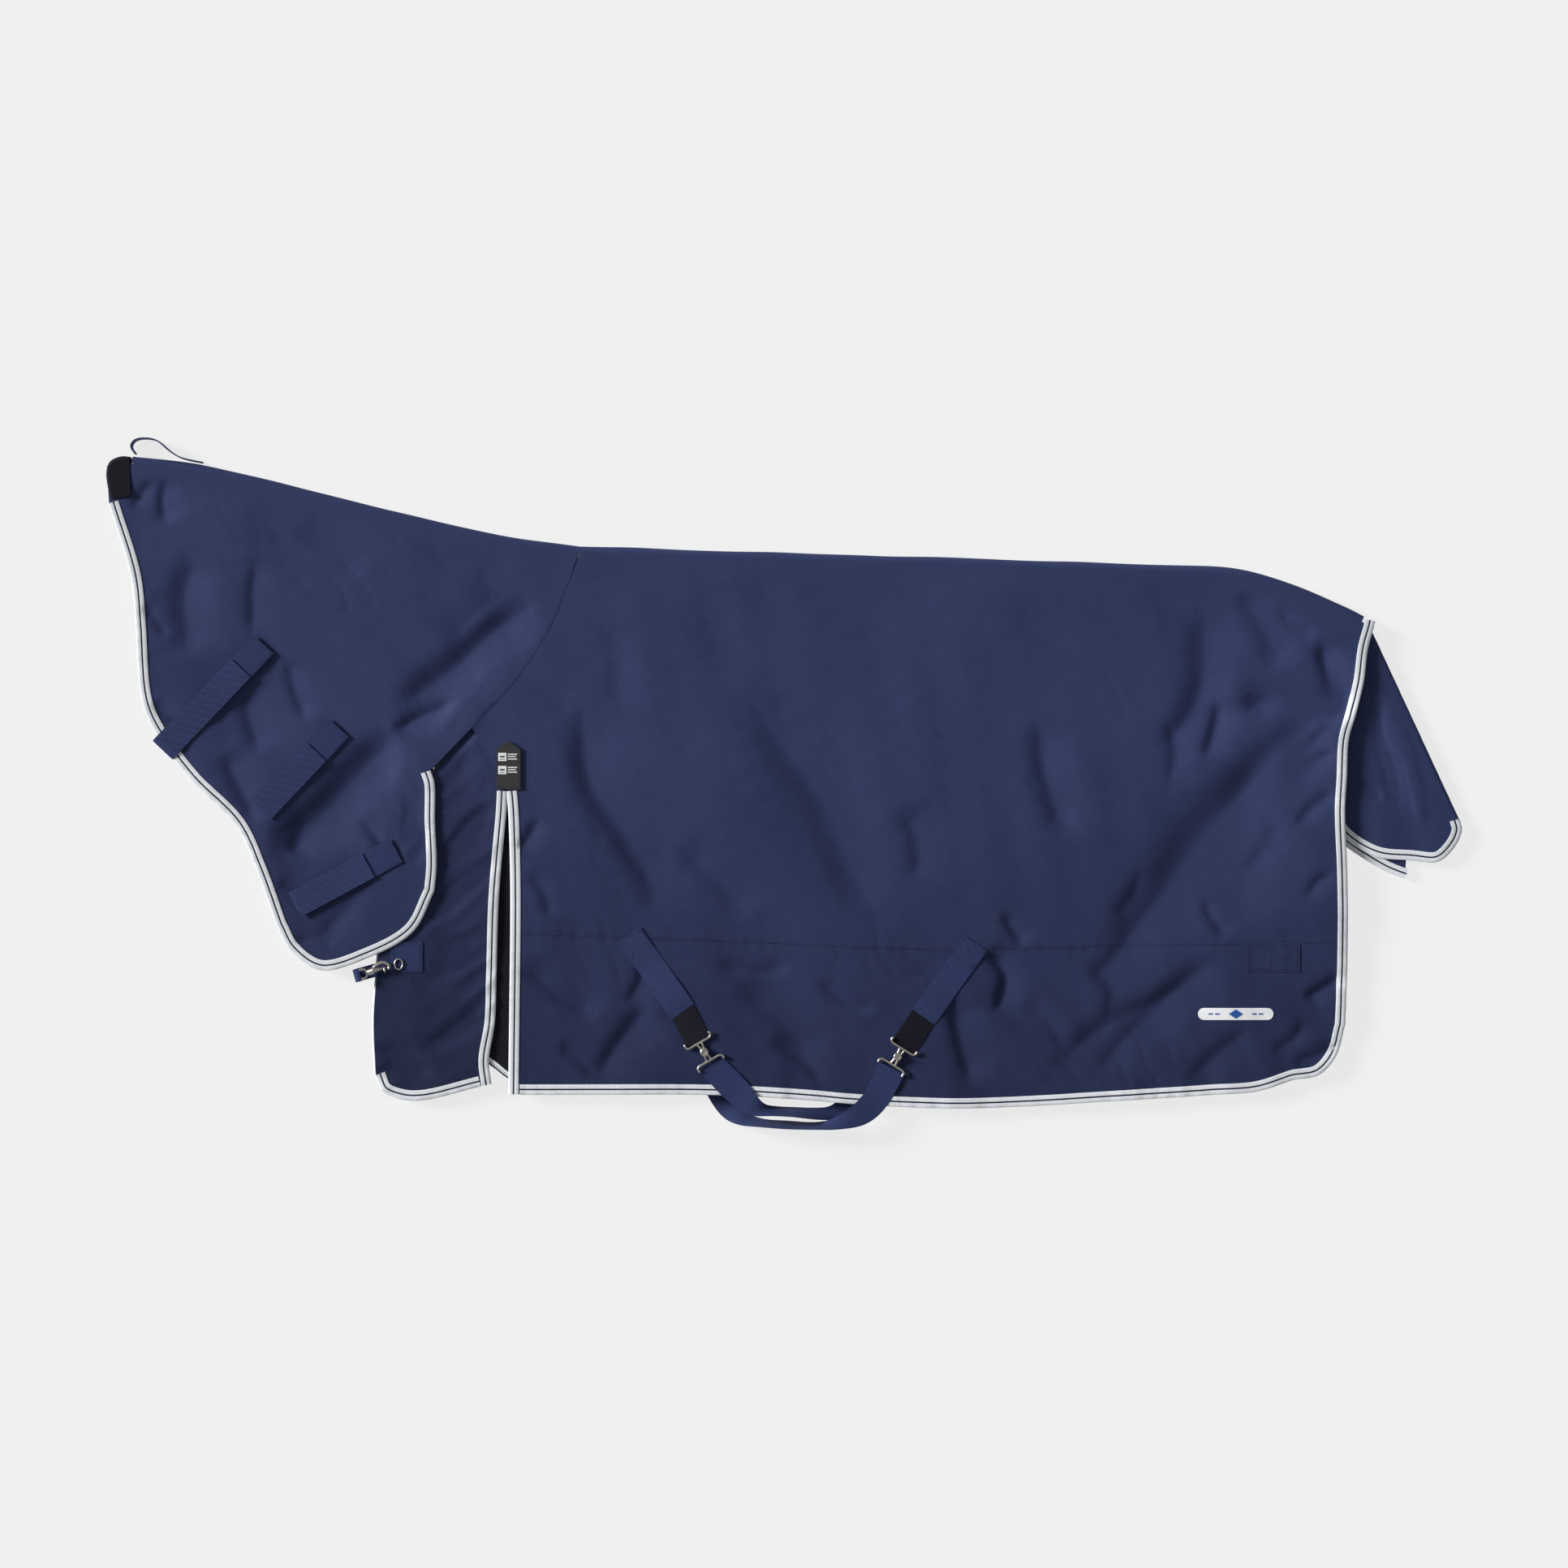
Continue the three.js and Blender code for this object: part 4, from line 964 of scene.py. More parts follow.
# each binding: name, node, edge, height of its underside and how the cloth lies; then its
# height and width where they differ
bindingCuts = [
    ("nearHemBinding", "near_hem_binding", hemEdge, level["nearTape"], nearRise),
    ("nearRearBinding", "near_rear_binding", rearPath, level["nearTape"], nearRise),
    ("nearSlitRearBinding", "near_slit_rear_binding", line["slitRear"], level["nearTape"],
     nearRise),
    ("nearSlitFrontBinding", "near_slit_front_binding", line["slitFront"],
     level["chestTape"], chestRise),
    ("nearChestBinding", "near_chest_binding", line["chestHem"], level["chestTape"],
     chestRise),
    ("nearNeckBinding", "near_neck_binding", neckEdge, level["nearTape"], nearRise),
    ("farHemBinding", "far_hem_binding", joined(hemEdge, line["rear"]), level["farTape"],
     farRise),
    ("farNeckBinding", "far_neck_binding", neckEdge, level["farTape"], farRise),
    ("farChestBinding", None, shifted(line["chestFront"][8:], -3 * mm),
     level["farChestTape"], farRise, level["oneLayerTape"]),
    ("nearGussetBinding", "near_gusset_binding", line["gussetHem"], level["gussetTape"],
     noRise, level["oneLayerTape"], 12),
]
for name, *cut in bindingCuts:
    row = makeBinding(name, *cut)
    if name.startswith("near"):
        bindingRows["root"].append(row)
print("bindings sewn")


# Tail flap: two sheets joined by a fold down the outer side, on their own body
tailFlap = {
    "near": 15.6, "far": 10.4, "nearTape": 13.4, "farTape": 8.2,
    "fold": 3.5, "nearDrop": 2.1, "farDrop": -1.9,        # how the sheets meet in the fold
    "foldLine": [[1238, -64], [1078, 281]],
    "inner": [[1044, 266], [1000, 40]],
    "farCorner": [[1143, -120], [1226, -62]],
    "wave": 0.9, "limit": 2.2, "farShare": 0.1, "edgeShare": 0.25, "hold": 30,
    "folds": [([[1095, 180], [1092, 100], [1115, 20], [1130, -60]], -2.2, 14, 20, 0.2),
              ([[1120, 120], [1150, 20], [1172, -90]], 1.6, 16, 10, 0.4),
              ([[1040, 0], [1075, -10], [1100, -30]], -1.6, 8, 12, 0.4)],
}


def makeTailFlap(look):
    fold = evenly(np.array(look["foldLine"]) * mm, 4 * mm)
    inner, corner = np.array(look["inner"]) * mm, np.array(look["farCorner"]) * mm
    for side, edge in (("near", line["tailNear"]), ("far", line["tailFar"])):
        outline = np.vstack([edge, *([corner] if side == "far" else []), fold[1:], inner])

        def rise(places, side=side, edge=edge):
            apart = np.abs(beside(fold, places)[0])
            turn = eased(1 - apart / (look["fold"] * mm))
            drop = look[side + "Drop"] * mm
            wave = look["wave"] * mm * ripple(places, 120, 71, 0.6, 1.2)
            soft = foldRise(places, look["folds"])
            limit = look["limit"] * mm
            near = side == "near"
            body = np.clip(wave + soft, -limit, limit) if near else look["farShare"] * wave
            hold = eased(np.abs(beside(edge, places)[0]) / (look["hold"] * mm))
            share = look["edgeShare"] + (1 - look["edgeShare"]) * hold
            return body * share * (1 - turn) - drop * turn

        clothSheet(f"{side}TailFlap", f"tail_flap_{side}", outline, 4.5, look[side], rise,
                   shellCloth, "navy_shell", body="tail_flap")
        bindingRows["tail_flap"].append(makeBinding(
            f"{side}TailFlapBinding", f"tail_flap_{side}_binding", edge,
            look[side + "Tape"], rise, level["oneLayerTape"], body="tail_flap"))


makeTailFlap(tailFlap)
print("tail flap hung")


# Webbing, straps and elastic

def webbingSkin(centres, across, width, thick, parts=6):
    # rings of a flat strap: centre points, unit vectors across it, width and thickness in mm
    centres, across = np.asarray(centres, float), np.asarray(across, float)
    run = np.gradient(centres, axis=0)
    run /= np.linalg.norm(run, axis=1)[:, None]
    up = np.cross(run, across)
    up /= np.linalg.norm(up, axis=1)[:, None]
    share = np.linspace(-0.5, 0.5, parts + 1)
    thin = np.where(np.abs(share) == 0.5, 0.6, 1.0)[:, None]
    rings, uv = [], []
    for i, passed in enumerate(lengths(centres)):
        spread = across[i] * share[:, None] * width * mm
        half = up[i] * (thick / 2 * thin) * mm
        rings.append(np.vstack([centres[i] + spread + half, (centres[i] + spread - half)[::-1]]))
        uv += [(passed, s * width * mm) for s in (*share, *share[::-1])]
    return np.array(rings), uv


def strapPiece(name, nodes, centres, across, width, thick, material, body="root"):
    rings, uv = webbingSkin(centres, across, width, thick)
    piece = loftPiece(name, rings, material, uv, sharpAngle=50)
    return attach(piece, nodes, body)


threadRows = []


def sew(places, height, lift=0.1):
    # a row of stitches on the body that doesn't move; height gives the cloth's top in metres
    threadRows.append(np.column_stack([places, height(places)]) + [0, 0, lift * mm])


def boxRow(corners):
    # a closed row round corners given in metres
    return evenly(np.vstack([corners, corners[:1]]), 2 * mm)


def flatAt(top):
    return lambda places: np.full(len(places), top * mm)


def along(start, end, step=5):
    return evenly(np.array([start, end], float) * mm, step * mm)


neckStraps = {
    "front": {"seam": (-953, 256), "end": (-1137, 62), "droop": 2.5, "splay": 2.2},
    "middle": {"seam": (-815, 103), "end": (-957, -48), "droop": 0.0, "splay": 1.6},
    "rear": {"seam": (-710, -121), "end": (-895, -221), "droop": 0.0, "splay": 2.6},
    "sewn": 42, "width": 50, "thick": 1.3, "turnBack": 58,
    "low": 27.9,                 # height of the underside over flat cloth
    "follow": 0.8, "dip": 1.0, "climb": 2.5,      # how closely it follows the creases
    "roll": 2.2, "rollGap": 1.3,
}


def makeNeckStrap(side, look):
    seam, end = np.array(look[side]["seam"], float), np.array(look[side]["end"], float)
    length = np.linalg.norm(end - seam)
    ahead = (end - seam) / length
    across2 = np.array([-ahead[1], ahead[0]])
    body = f"neck_strap_{side}"
    half, gap = look["thick"] / 2, look["thick"] * 2 + look["rollGap"]
    straight = length - look["roll"]
    out = np.arange(0, straight, 5.0)
    turn = np.linspace(-math.pi / 2, math.pi / 2, 9)[1:-1]
    back = np.arange(straight, look["turnBack"], -5.0)
    rollHalf = (gap - look["thick"]) / 2
    route = [(s, half) for s in out]
    route += [(straight + 2.0 * math.cos(t), half + rollHalf + rollHalf * math.sin(t))
              for t in turn]
    route += [(s, half + 2 * rollHalf) for s in back]
    route = np.array(route)
    places = (seam + np.outer(route[:, 0], ahead)) * mm
    under = np.max([nearRise(places + across2 * w * mm) for w in (-22, 0, 22)], axis=0)
    window = np.ones(5) / 5
    under = np.convolve(np.pad(under, 2, "edge"), window, "valid")
    share = route[:, 0] / length
    base = look["low"] + np.clip(under / mm, -look["dip"], look["climb"]) * look["follow"]
    droop = look[side]["droop"] * eased((route[:, 0] - length + 9) / 9)
    splay = look[side]["splay"] * eased((share - 0.25) / 0.5) * np.where(
        np.arange(len(route)) > len(out) + 4, 1.0, 0.35)
    centres = np.column_stack([places, (base + route[:, 1] - droop) * mm])
    across = np.column_stack([np.tile(across2, (len(route), 1)), -splay / look["width"]])
    across /= np.linalg.norm(across, axis=1)[:, None]
    piece = strapPiece(f"neckStrap{side.title()}", [body, body + "_anchor"], centres, across,
                       look["width"], look["thick"], webbing, None)
    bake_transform(piece)

    def anchorHeight(places):
        top = (look["low"] + look["thick"]) * mm
        cloth = np.clip(nearRise(places), -look["dip"] * mm, look["climb"] * mm)
        return top + cloth * look["follow"]

    for inset in (3.0, 6.5):
        inner = seam + ahead * inset
        sew(along(inner + across2 * 22, inner - across2 * 22, 2), anchorHeight)
    for edge in (22, -22):
        outer = seam + across2 * edge
        sew(along(outer + ahead * 3, outer + ahead * 34, 2), anchorHeight)


for side in ("front", "middle", "rear"):
    makeNeckStrap(side, neckStraps)

bellyStraps = {
    "front": {"top": (-284, -276), "join": (-185, -416), "clip": (-157, -471.5),
              "low": (-138, -504.5)},
    "rear": {"top": (351, -292), "join": (255, -426), "clip": (218.5, -482),
             "low": (200, -512)},
    "width": 50, "thick": 1.3, "lift": 0.35, "barBottom": 28.8,
    "elasticWidth": 47, "elasticThick": 1.2, "elasticLow": 27.3,
}


def onNear(places):
    return level["nearTop"] * mm + nearRise(places)


def onChest(places):
    return level["chestTop"] * mm + chestRise(places)


def makeBellyStrap(side, look):
    at = {key: np.array(value, float) for key, value in look[side].items()}
    down = (at["join"] - at["top"]) / np.linalg.norm(at["join"] - at["top"])
    across2 = np.array([-down[1], down[0]])
    path = along(at["top"], at["join"])
    lifted = np.max([onNear(path + across2 * w * mm) for w in (-20, 0, 20)], axis=0)
    centres = np.column_stack([path, lifted + (look["lift"] + look["thick"] / 2) * mm])
    across = np.tile([*across2, 0.0], (len(path), 1))
    strapPiece(f"bellyWebbing{side.title()}", [f"belly_strap_{side}_webbing"], centres, across,
               look["width"], look["thick"], webbing)
    # the elastic tucks under the webbing's end and rises to the clip's bar
    run = (at["clip"] - at["join"]) / np.linalg.norm(at["clip"] - at["join"])
    path2 = along(at["join"] - down * 1.0, at["clip"] + run * 4.5, 3)
    start = centres[-1, 2]
    share = np.linspace(0, 1, len(path2))
    end = (look["barBottom"] - 0.7) * mm
    height = start - 0.2 * mm + (end - start) * eased(share * 1.15)
    centres2 = np.column_stack([path2, np.maximum(height, look["elasticLow"] * mm)])
    side3 = np.array([-run[1], run[0], 0.0])
    across3 = np.tile(side3, (len(centres2), 1))
    strapPiece(f"bellyElastic{side.title()}", [f"belly_strap_{side}_elastic"], centres2,
               across3, look["elasticWidth"], look["elasticThick"], elastic)

    def top(places):
        return np.interp((places / mm - at["top"]) @ down,
                         (path / mm - at["top"]) @ down, centres[:, 2]) + look["thick"] / 2 * mm

    length = np.linalg.norm(at["join"] - at["top"])
    box = [(4, 22), (4, -22), (40, -22), (40, 22)]
    sew(boxRow(np.array([at["top"] + down * a + across2 * b for a, b in box]) * mm), top)
    for start, end in (((5, 21), (39, -21)), ((5, -21), (39, 21)),
                       ((length - 4, 22), (length - 4, -22)),
                       ((length - 9, 22), (length - 9, -22))):
        ends = [at["top"] + down * a + across2 * b for a, b in (start, end)]
        sew(along(*ends, 2), top)


# how each cross-surcingle leaves its clip, turns under the hem and comes back on the far side:
# pairs of points on its two edges
crossRuns = {
    "front": [
        [[-115, -498, 28.2], [-158, -522, 28.2]], [[-84, -528, 28.4], [-122, -562, 28.4]],
        [[-62, -552, 29.2], [-94, -588, 28.6]], [[-38, -584, 29], [-62, -606, 34]],
        [[-10, -592, 8], [-20, -606, 46]], [[22, -594, 1], [18, -608, 46]],
        [[52, -595, 0.7], [56, -614, 28]], [[84, -592, 0.5], [96, -616, 8]],
        [[108, -572, 0.45], [130, -608, 0.6]], [[130, -548, 0.45], [164, -584, 0.45]],
        [[158, -512, 0.45], [196, -544, 0.45]], [[233, -414, 0.45], [274, -443, 0.45]],
    ],
    "rear": [
        [[176.5, -506, 28.2], [221, -530, 28.2]], [[157, -545, 28.6], [200, -570, 28.6]],
        [[142, -572, 30], [178, -602, 29]], [[118, -594, 33], [146, -624, 33]],
        [[86, -614, 26], [100, -631, 42]], [[56, -621, 8], [54, -631, 46]],
        [[10, -619, 1], [4, -630, 46]], [[-40, -615, 1], [-46, -626, 46]],
        [[-66, -604, 0.7], [-84, -624, 22]], [[-84, -580, 0.45], [-112, -612, 2]],
        [[-98, -548, 0.45], [-140, -574, 0.45]], [[-162, -404, 0.45], [-203, -433, 0.45]],
    ],
}


def railPiece(name, node, rows, width, thick, steps=150):
    # webbing between two rails of [x, y, z] points in mm
    def rail(side):
        points = smoothLine([row[side] for row in rows], 0.5 * mm)
        # the same share of each rail's own knots, so that the rings stay square
        knots = [row[side] for row in rows]
        spots = [int(np.linalg.norm(points - np.array(k) * mm, axis=1).argmin()) for k in knots]
        at = np.interp(np.linspace(0, len(knots) - 1, steps), range(len(knots)), spots)
        return np.stack([np.interp(at, range(len(points)), points[:, k]) for k in range(3)], 1)

    left, right = rail(0), rail(1)
    for k in range(3):                       # smooths the change of pace between knots
        left[:, k] = np.convolve(np.pad(left[:, k], 3, "edge"), np.ones(7) / 7, "valid")
        right[:, k] = np.convolve(np.pad(right[:, k], 3, "edge"), np.ones(7) / 7, "valid")
    middle = (left + right) / 2
    run = np.gradient(middle, axis=0)
    up = np.cross(run, right - left)
    up /= np.linalg.norm(up, axis=1)[:, None]
    share = np.linspace(0, 1, 7)
    rings, uv = [], []
    along = lengths(middle)
    for i in range(steps):
        top = [left[i] + (right[i] - left[i]) * s + up[i] * thick / 2 * mm for s in share]
        under = [left[i] + (right[i] - left[i]) * s - up[i] * thick / 2 * mm for s in share]
        ring = np.array(top + under[::-1])
        ring[:, 2] = np.maximum(ring[:, 2], 0.0)
        rings.append(ring)
        uv += [(along[i], s * width * mm) for s in (*share, *share[::-1])]
    piece = loftPiece(name, rings, webbing, uv, sharpAngle=50)
    attach(piece, [node])


for side in ("front", "rear"):
    makeBellyStrap(side, bellyStraps)
    railPiece(f"bellyRun{side.title()}", f"belly_strap_{side}_run", crossRuns[side], 50, 1.0)

farAnchors = {"front": ((-283, -276), (-183, -417)), "rear": ((350, -292), (254, -427))}
for side, (top, low) in farAnchors.items():
    path = along(top, low)
    down = (np.array(low) - top) / math.dist(top, low)
    across = np.tile([-down[1], down[0], 0.0], (len(path), 1))
    strapPiece(f"farAnchor{side.title()}", [f"far_anchor_{side}"],
               np.column_stack([path, np.full(len(path), 0.45 * mm)]), across, 50, 0.9,
               webbing)
print("straps sewn on")


# Poll cap and poll loop
pollLoop = {"path": [[-1188, 604], [-1197, 619], [-1190, 630], [-1174, 633.8], [-1150, 630],
                     [-1128, 612], [-1110, 600], [-1088, 593.5], [-1064, 589]],
            "low": 2, "high": 24, "thick": 2.4}
railPiece("pollLoop", "poll_loop",
          [[[x, y, pollLoop["low"]], [x, y, pollLoop["high"]]] for x, y in pollLoop["path"]],
          22, pollLoop["thick"], 90)

pollCap = {
    "top": 27.4, "round": 7.0, "wall": 1.2,
    "closedSide": [[-1236.2, 521], [-1243, 572], [-1236, 592], [-1216, 601], [-1197.7, 600]],
    "openSide": [[-1197.7, 600], [-1196, 527], [-1236.2, 521]],
    "stitches": [(-1198, 593), (-1197, 531)],
}


def makePollCap(look):
    closedSide = smoothLine(look["closedSide"], 2.5 * mm)
    openSide = evenly(np.array(look["openSide"]) * mm, 3 * mm)
    outline = joined(closedSide, openSide[:-1])
    points, faces = fillOutline(outline, 2.6 * mm)
    inward = np.abs(beside(closedSide, points)[0]) / (look["round"] * mm)
    half = look["top"] / 2 * mm
    bulge = np.sqrt(np.clip(1 - (1 - np.clip(inward, 0, 1)) ** 2, 0, 1))
    onRim = inward < 0.02
    bulge = np.where(onRim, 0, bulge) * (half - look["wall"] / 2 * mm)
    top = np.column_stack([points, half + bulge])
    under = np.column_stack([points, half - bulge])
    count = len(points)
    twin = np.where(onRim, np.arange(count), np.arange(count) + count)
    lower = [tuple(twin[list(f)][::-1]) for f in faces]
    verts = np.vstack([top, under])
    uv = np.vstack([points, points])[:, ::-1]
    piece = newPiece("pollCap", verts, [tuple(f) for f in faces] + lower, elastic, uv)
    attach(thicken(piece, look["wall"]), ["poll_cap"])
    edge = along(*look["stitches"], 2)
    sew(edge - [1.5 * mm, 0], flatAt(look["top"]), 0)


makePollCap(pollCap)
print("poll finished")


# Surcingle clips: two bars with curled ends, joined by prongs and a round head
clipShape = {
    "half": 24, "wire": 2.35, "height": 31.1, "hookRise": 4.2,
    # the curled end, from the bar outwards: distance past the bar's end, then y and z
    "curl": [(-6, 0, 0), (-1.6, 0.6, 0), (1.4, 3.4, 0.1), (1.9, 7, 0.4), (0.6, 10.4, 1.0)],
    # one prong: x, y and the share of the head's rise
    "prong": [(4.6, 0, 0), (4.3, -4, 0.25), (3.5, -9, 0.62), (2.8, -14, 1)],
    "disc": [(-1.7, 0), (-1.7, 5.0), (-1.4, 6.6), (-0.6, 7.4), (0.6, 7.4), (1.4, 6.8),
             (1.7, 5.6), (1.0, 4.0), (0.6, 2.4), (0.8, 0)],
    "discAt": -17.5,
}


def clipSkins(headRise, look):
    half, wire = look["half"], look["wire"]
    curl = [(half + x, y, z) for x, y, z in look["curl"]]
    mirrored = [(-x, y, z) for x, y, z in curl[::-1]]
    parts = [wireSkin([*mirrored, (-8, 0, 0), (8, 0, 0), *curl], wire, 14)]
    for side in (-1, 1):
        prong = [(side * x, y, headRise * share) for x, y, share in look["prong"]]
        parts.append(wireSkin(prong, wire * 0.9, 10))
    disc = turnedSkin(look["disc"], 28)
    verts = np.asarray(disc[0])[:, [1, 2, 0]]     # its axis turned from X to Z
    parts.append((verts + np.array([0, look["discAt"], headRise]) * mm, disc[1]))
    return parts


def makeClip(side, look):
    at = {key: np.array(value, float) for key, value in bellyStraps[side].items()}
    down = (at["join"] - at["top"]) / np.linalg.norm(at["join"] - at["top"])
    lean = math.atan2(*(at["low"] - at["clip"])[::-1]) + math.pi / 2
    for kind, spot, turn, rise, lift in (
            ("plate", at["clip"] + down * 3, lean, 0.0, 0.0),
            ("hook", at["low"] + down * 2, lean + math.pi, look["hookRise"], 0.4)):
        skins = clipSkins(rise, look)
        parts = [placed(skin, turn, (*spot, look["height"] + lift)) for skin in skins]
        piece = mergedPiece(f"bellyClip{side.title()}{kind.title()}", parts, nickel, 50)
        attach(piece, [f"belly_clip_{side}_{kind}"])


for side in ("front", "rear"):
    makeClip(side, clipShape)


# Chest closure: folded tab, swivel eye, sprung snap, and the patch with its ring
snap = {
    "eye": (-766, -346, 30), "turn": 0.27,
    "tab": [(52, 0, -16.8), (20, 0, -16.8), (-10, 0, -16.6), (-19, 0, -12), (-21, 0, 0),
            (-19, 0, 7), (-14, 0, 9.2), (-9, 0, 8.8)],
    "tabWidth": 24, "tabThick": 1.3,
    "ring": 8.5, "ringWire": 2.1,
    # turned parts as distance along the snap and radius
    "stem": [(1, 0), (1, 2), (2, 2.3), (9.6, 2), (10, 3.2), (10.5, 3.6), (11.6, 3.6),
             (12, 3.2), (12, 0)],
    "barrel": [(4, 2.6), (4, 4.2), (4.5, 4.8), (5.6, 4.9), (6, 4.5), (7, 4.7), (7.6, 5.5),
               (8.6, 5.6), (9.2, 5.2), (10, 5.2), (10.6, 5.8), (11.6, 5.8), (12.2, 5.2),
               (13, 5.2), (13.6, 5.7), (14.6, 5.6), (15.4, 5.0), (19, 4.3), (26.4, 3.7),
               (27, 3.2), (27, 2.3), (13, 2.3), (13, 4.1), (9, 4.1), (9, 2.6)],
    "hook": [(15, 4.8, 0), (20, 7.6, 0), (28, 10.2, 0), (35, 10.6, 0), (40.5, 8.2, 0),
             (44.5, 3.5, 0), (44.6, -1, 0), (42.6, -3.6, 0), (40.5, -4.2, 0)],
    "hookWire": 2.9,
    "bolt": [(21.5, 0), (21.5, 1.6), (21.9, 2), (37.8, 2), (38.4, 1.6), (38.6, 0)],
    "thumb": [(35.3, 0, 0), (35.3, -4, 1.5), (35.3, -8.5, 2)], "thumbWire": 1.6,
    "springStart": 13.7, "springRadius": 1.5, "springWire": 0.3, "springHeld": 13.3,
    "patch": (-720.5, -662.5, -344.5, -289.5), "patchLift": 1.35, "patchThick": 0.9,
    "patchRing": (-706, -330, 24.1), "patchRingHalf": (7.5, 9.5), "patchRingWire": 1.5,
}


def makeChestClosure(look):
    def put(parts):
        return [placed(part, look["turn"], look["eye"]) for part in parts]

    def finish(name, parts, sharpAngle, node, body="root"):
        piece = mergedPiece(name, parts, nickel, sharpAngle)
        return attach(piece, [node], body)

    route = smoothLine(look["tab"], 2 * mm)
    c, s = math.cos(look["turn"]), math.sin(look["turn"])
    eye = np.array(look["eye"]) * mm
    turned = route @ np.array([[c, s, 0], [-s, c, 0], [0, 0, 1]]) + eye
    across = np.tile([-s, c, 0.0], (len(turned), 1))
    strapPiece("chestTab", ["chest_tab"], turned, across, look["tabWidth"], look["tabThick"],
               webbing)
    angle = np.linspace(0, 2 * math.pi, 13)[:-1]
    ring = [(-6 + look["ring"] * math.cos(a), look["ring"] * math.sin(a), 0) for a in angle]
    eyeRing = wireSkin(ring, look["ringWire"], 12, 1.0, True)
    finish("chestSnapEye", put([eyeRing, turnedSkin(look["stem"])]), 50, "chest_snap_eye")
    barrel = turnedSkin(look["barrel"], 28, True)
    hook = wireSkin(look["hook"], look["hookWire"], 14)
    finish("chestSnapBody", put([barrel, hook]), 50, "chest_snap_body", "chest_snap")
    thumb = wireSkin(look["thumb"], look["thumbWire"], 12)
    finish("chestSnapBolt", put([turnedSkin(look["bolt"]), thumb]), 50, "chest_snap_bolt",
           "chest_snap_bolt")
    radius = look["springRadius"]
    coil = [(look["springStart"] + 0.1 * k, radius * math.cos(k * math.pi / 4),
             radius * math.sin(k * math.pi / 4)) for k in range(73)]
    spring = finish("chestSnapSpring", put([wireSkin(coil, look["springWire"], 6, 0.5)]), 60,
                    "chest_snap_spring", "chest_snap")
    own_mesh(spring)
    left, right, low, high = look["patch"]
    patchTop = level["chestTop"] + look["patchLift"]
    path = along((left, (low + high) / 2), (right, (low + high) / 2))
    height = np.full(len(path), (patchTop - look["patchThick"] / 2) * mm)
    strapPiece("nearChestPatch", ["near_chest_patch"], np.column_stack([path, height]),
               np.tile([0, 1.0, 0], (len(path), 1)), high - low, look["patchThick"], webbing)
    for inset in (3, 6):
        x0, x1, y0, y1 = left + inset, right - inset, low + inset, high - inset
        corners = np.array([[x0, y0], [x1, y0], [x1, y1], [x0, y1]]) * mm
        sew(boxRow(corners), flatAt(patchTop))
    (x, y, z), (halfLong, halfWide) = look["patchRing"], look["patchRingHalf"]
    ring = [(x + halfLong * math.cos(a), y + halfWide * math.sin(a), z) for a in angle]
    finish("nearChestRing", [wireSkin(ring, look["patchRingWire"], 12, 1.0, True)], 60,
           "near_chest_ring")


makeChestClosure(snap)

# Leg-strap rings inside the rug, and the stitched patch that shows outside
legFittings = {"patch": (896, -318), "size": (98, 54),
               "ring": [(-22, 12), (0, 12.4), (22, 12), (25, 6), (19, -9), (7, -16), (-7, -16),
                        (-19, -9), (-25, 6)]}


def makeLegFittings(look):
    x, y = look["patch"]
    width, height = look["size"]
    path = along((x - width / 2, y), (x + width / 2, y))
    top = np.max([onNear(path + np.array([0, w]) * mm) for w in (-20, 0, 20)], axis=0)
    centres = np.column_stack([path, top + 0.75 * mm])
    strapPiece("nearLegPatch", ["near_leg_patch"], centres,
               np.tile([0, 1.0, 0], (len(path), 1)), height, 0.9, shellCloth)

    def onPatch(places):
        return np.interp(places[:, 0], path[:, 0], centres[:, 2]) + 0.5 * mm

    for x0, x1, y0, y1 in ((-46, 46, -24, 24), (-43, 43, -21, 21), (-4, 44, -14.5, 14.5)):
        corners = np.array([[x + x0, y + y0], [x + x1, y + y0], [x + x1, y + y1],
                            [x + x0, y + y1]]) * mm
        sew(boxRow(corners), onPatch)
    for a, b in (((-4, -14.5), (44, 14.5)), ((-4, 14.5), (44, -14.5))):
        sew(along((x + a[0], y + a[1]), (x + b[0], y + b[1]), 2), onPatch)
    for name, node, z in (("nearLegRing", "near_leg_ring", 19.5),
                          ("farLegRing", "far_leg_ring", 9.5)):
        ring = [(x + a, y + b, z) for a, b in look["ring"]]
        piece = mergedPiece(name, [wireSkin(ring, 2.0, 12, 1.6, True)], nickel, 60)
        attach(piece, [node])


makeLegFittings(legFittings)
print("metal fittings placed")


# Label over the top of the slit, and the flank badge
shoulderLabel = {"outline": [(-526, -10), (-482, -10), (-482, 64), (-504, 79), (-526, 64)],
                 "low": 27.6, "thick": 1.8, "bevel": 0.5,
                 "markAt": (-515.5, -505.5), "rows": (49.5, 25.5), "mark": 15,
                 "bars": (17, 15, 17), "bar": 1.9, "barStep": 4.4}
flankBadge = {"centre": (827, -421), "half": (69, 11), "thick": 0.9,
              "dashes": (-46, -34, 34, 46), "diamond": (13, 8.5)}


def plateSkin(outline, low, thick, bevel):
    ring = np.array(outline, float)
    centre = ring.mean(0)
    small = centre + (ring - centre) * (1 - bevel / np.linalg.norm(ring - centre, axis=1).mean())
    levels = [(small, low), (ring, low + bevel * 0.5), (ring, low + thick - bevel),
              (small, low + thick)]
    verts = np.vstack([np.column_stack([r, np.full(len(r), z)]) for r, z in levels]) * mm
    return verts, loftFaces(4, len(ring))


def barSkin(x, y, width, height, z, thick=0.25):
    a, b = width / 2, height / 2
    return plateSkin([(x - a, y - b), (x + a, y - b), (x + a, y + b), (x - a, y + b)], z, thick,
                     0.08)


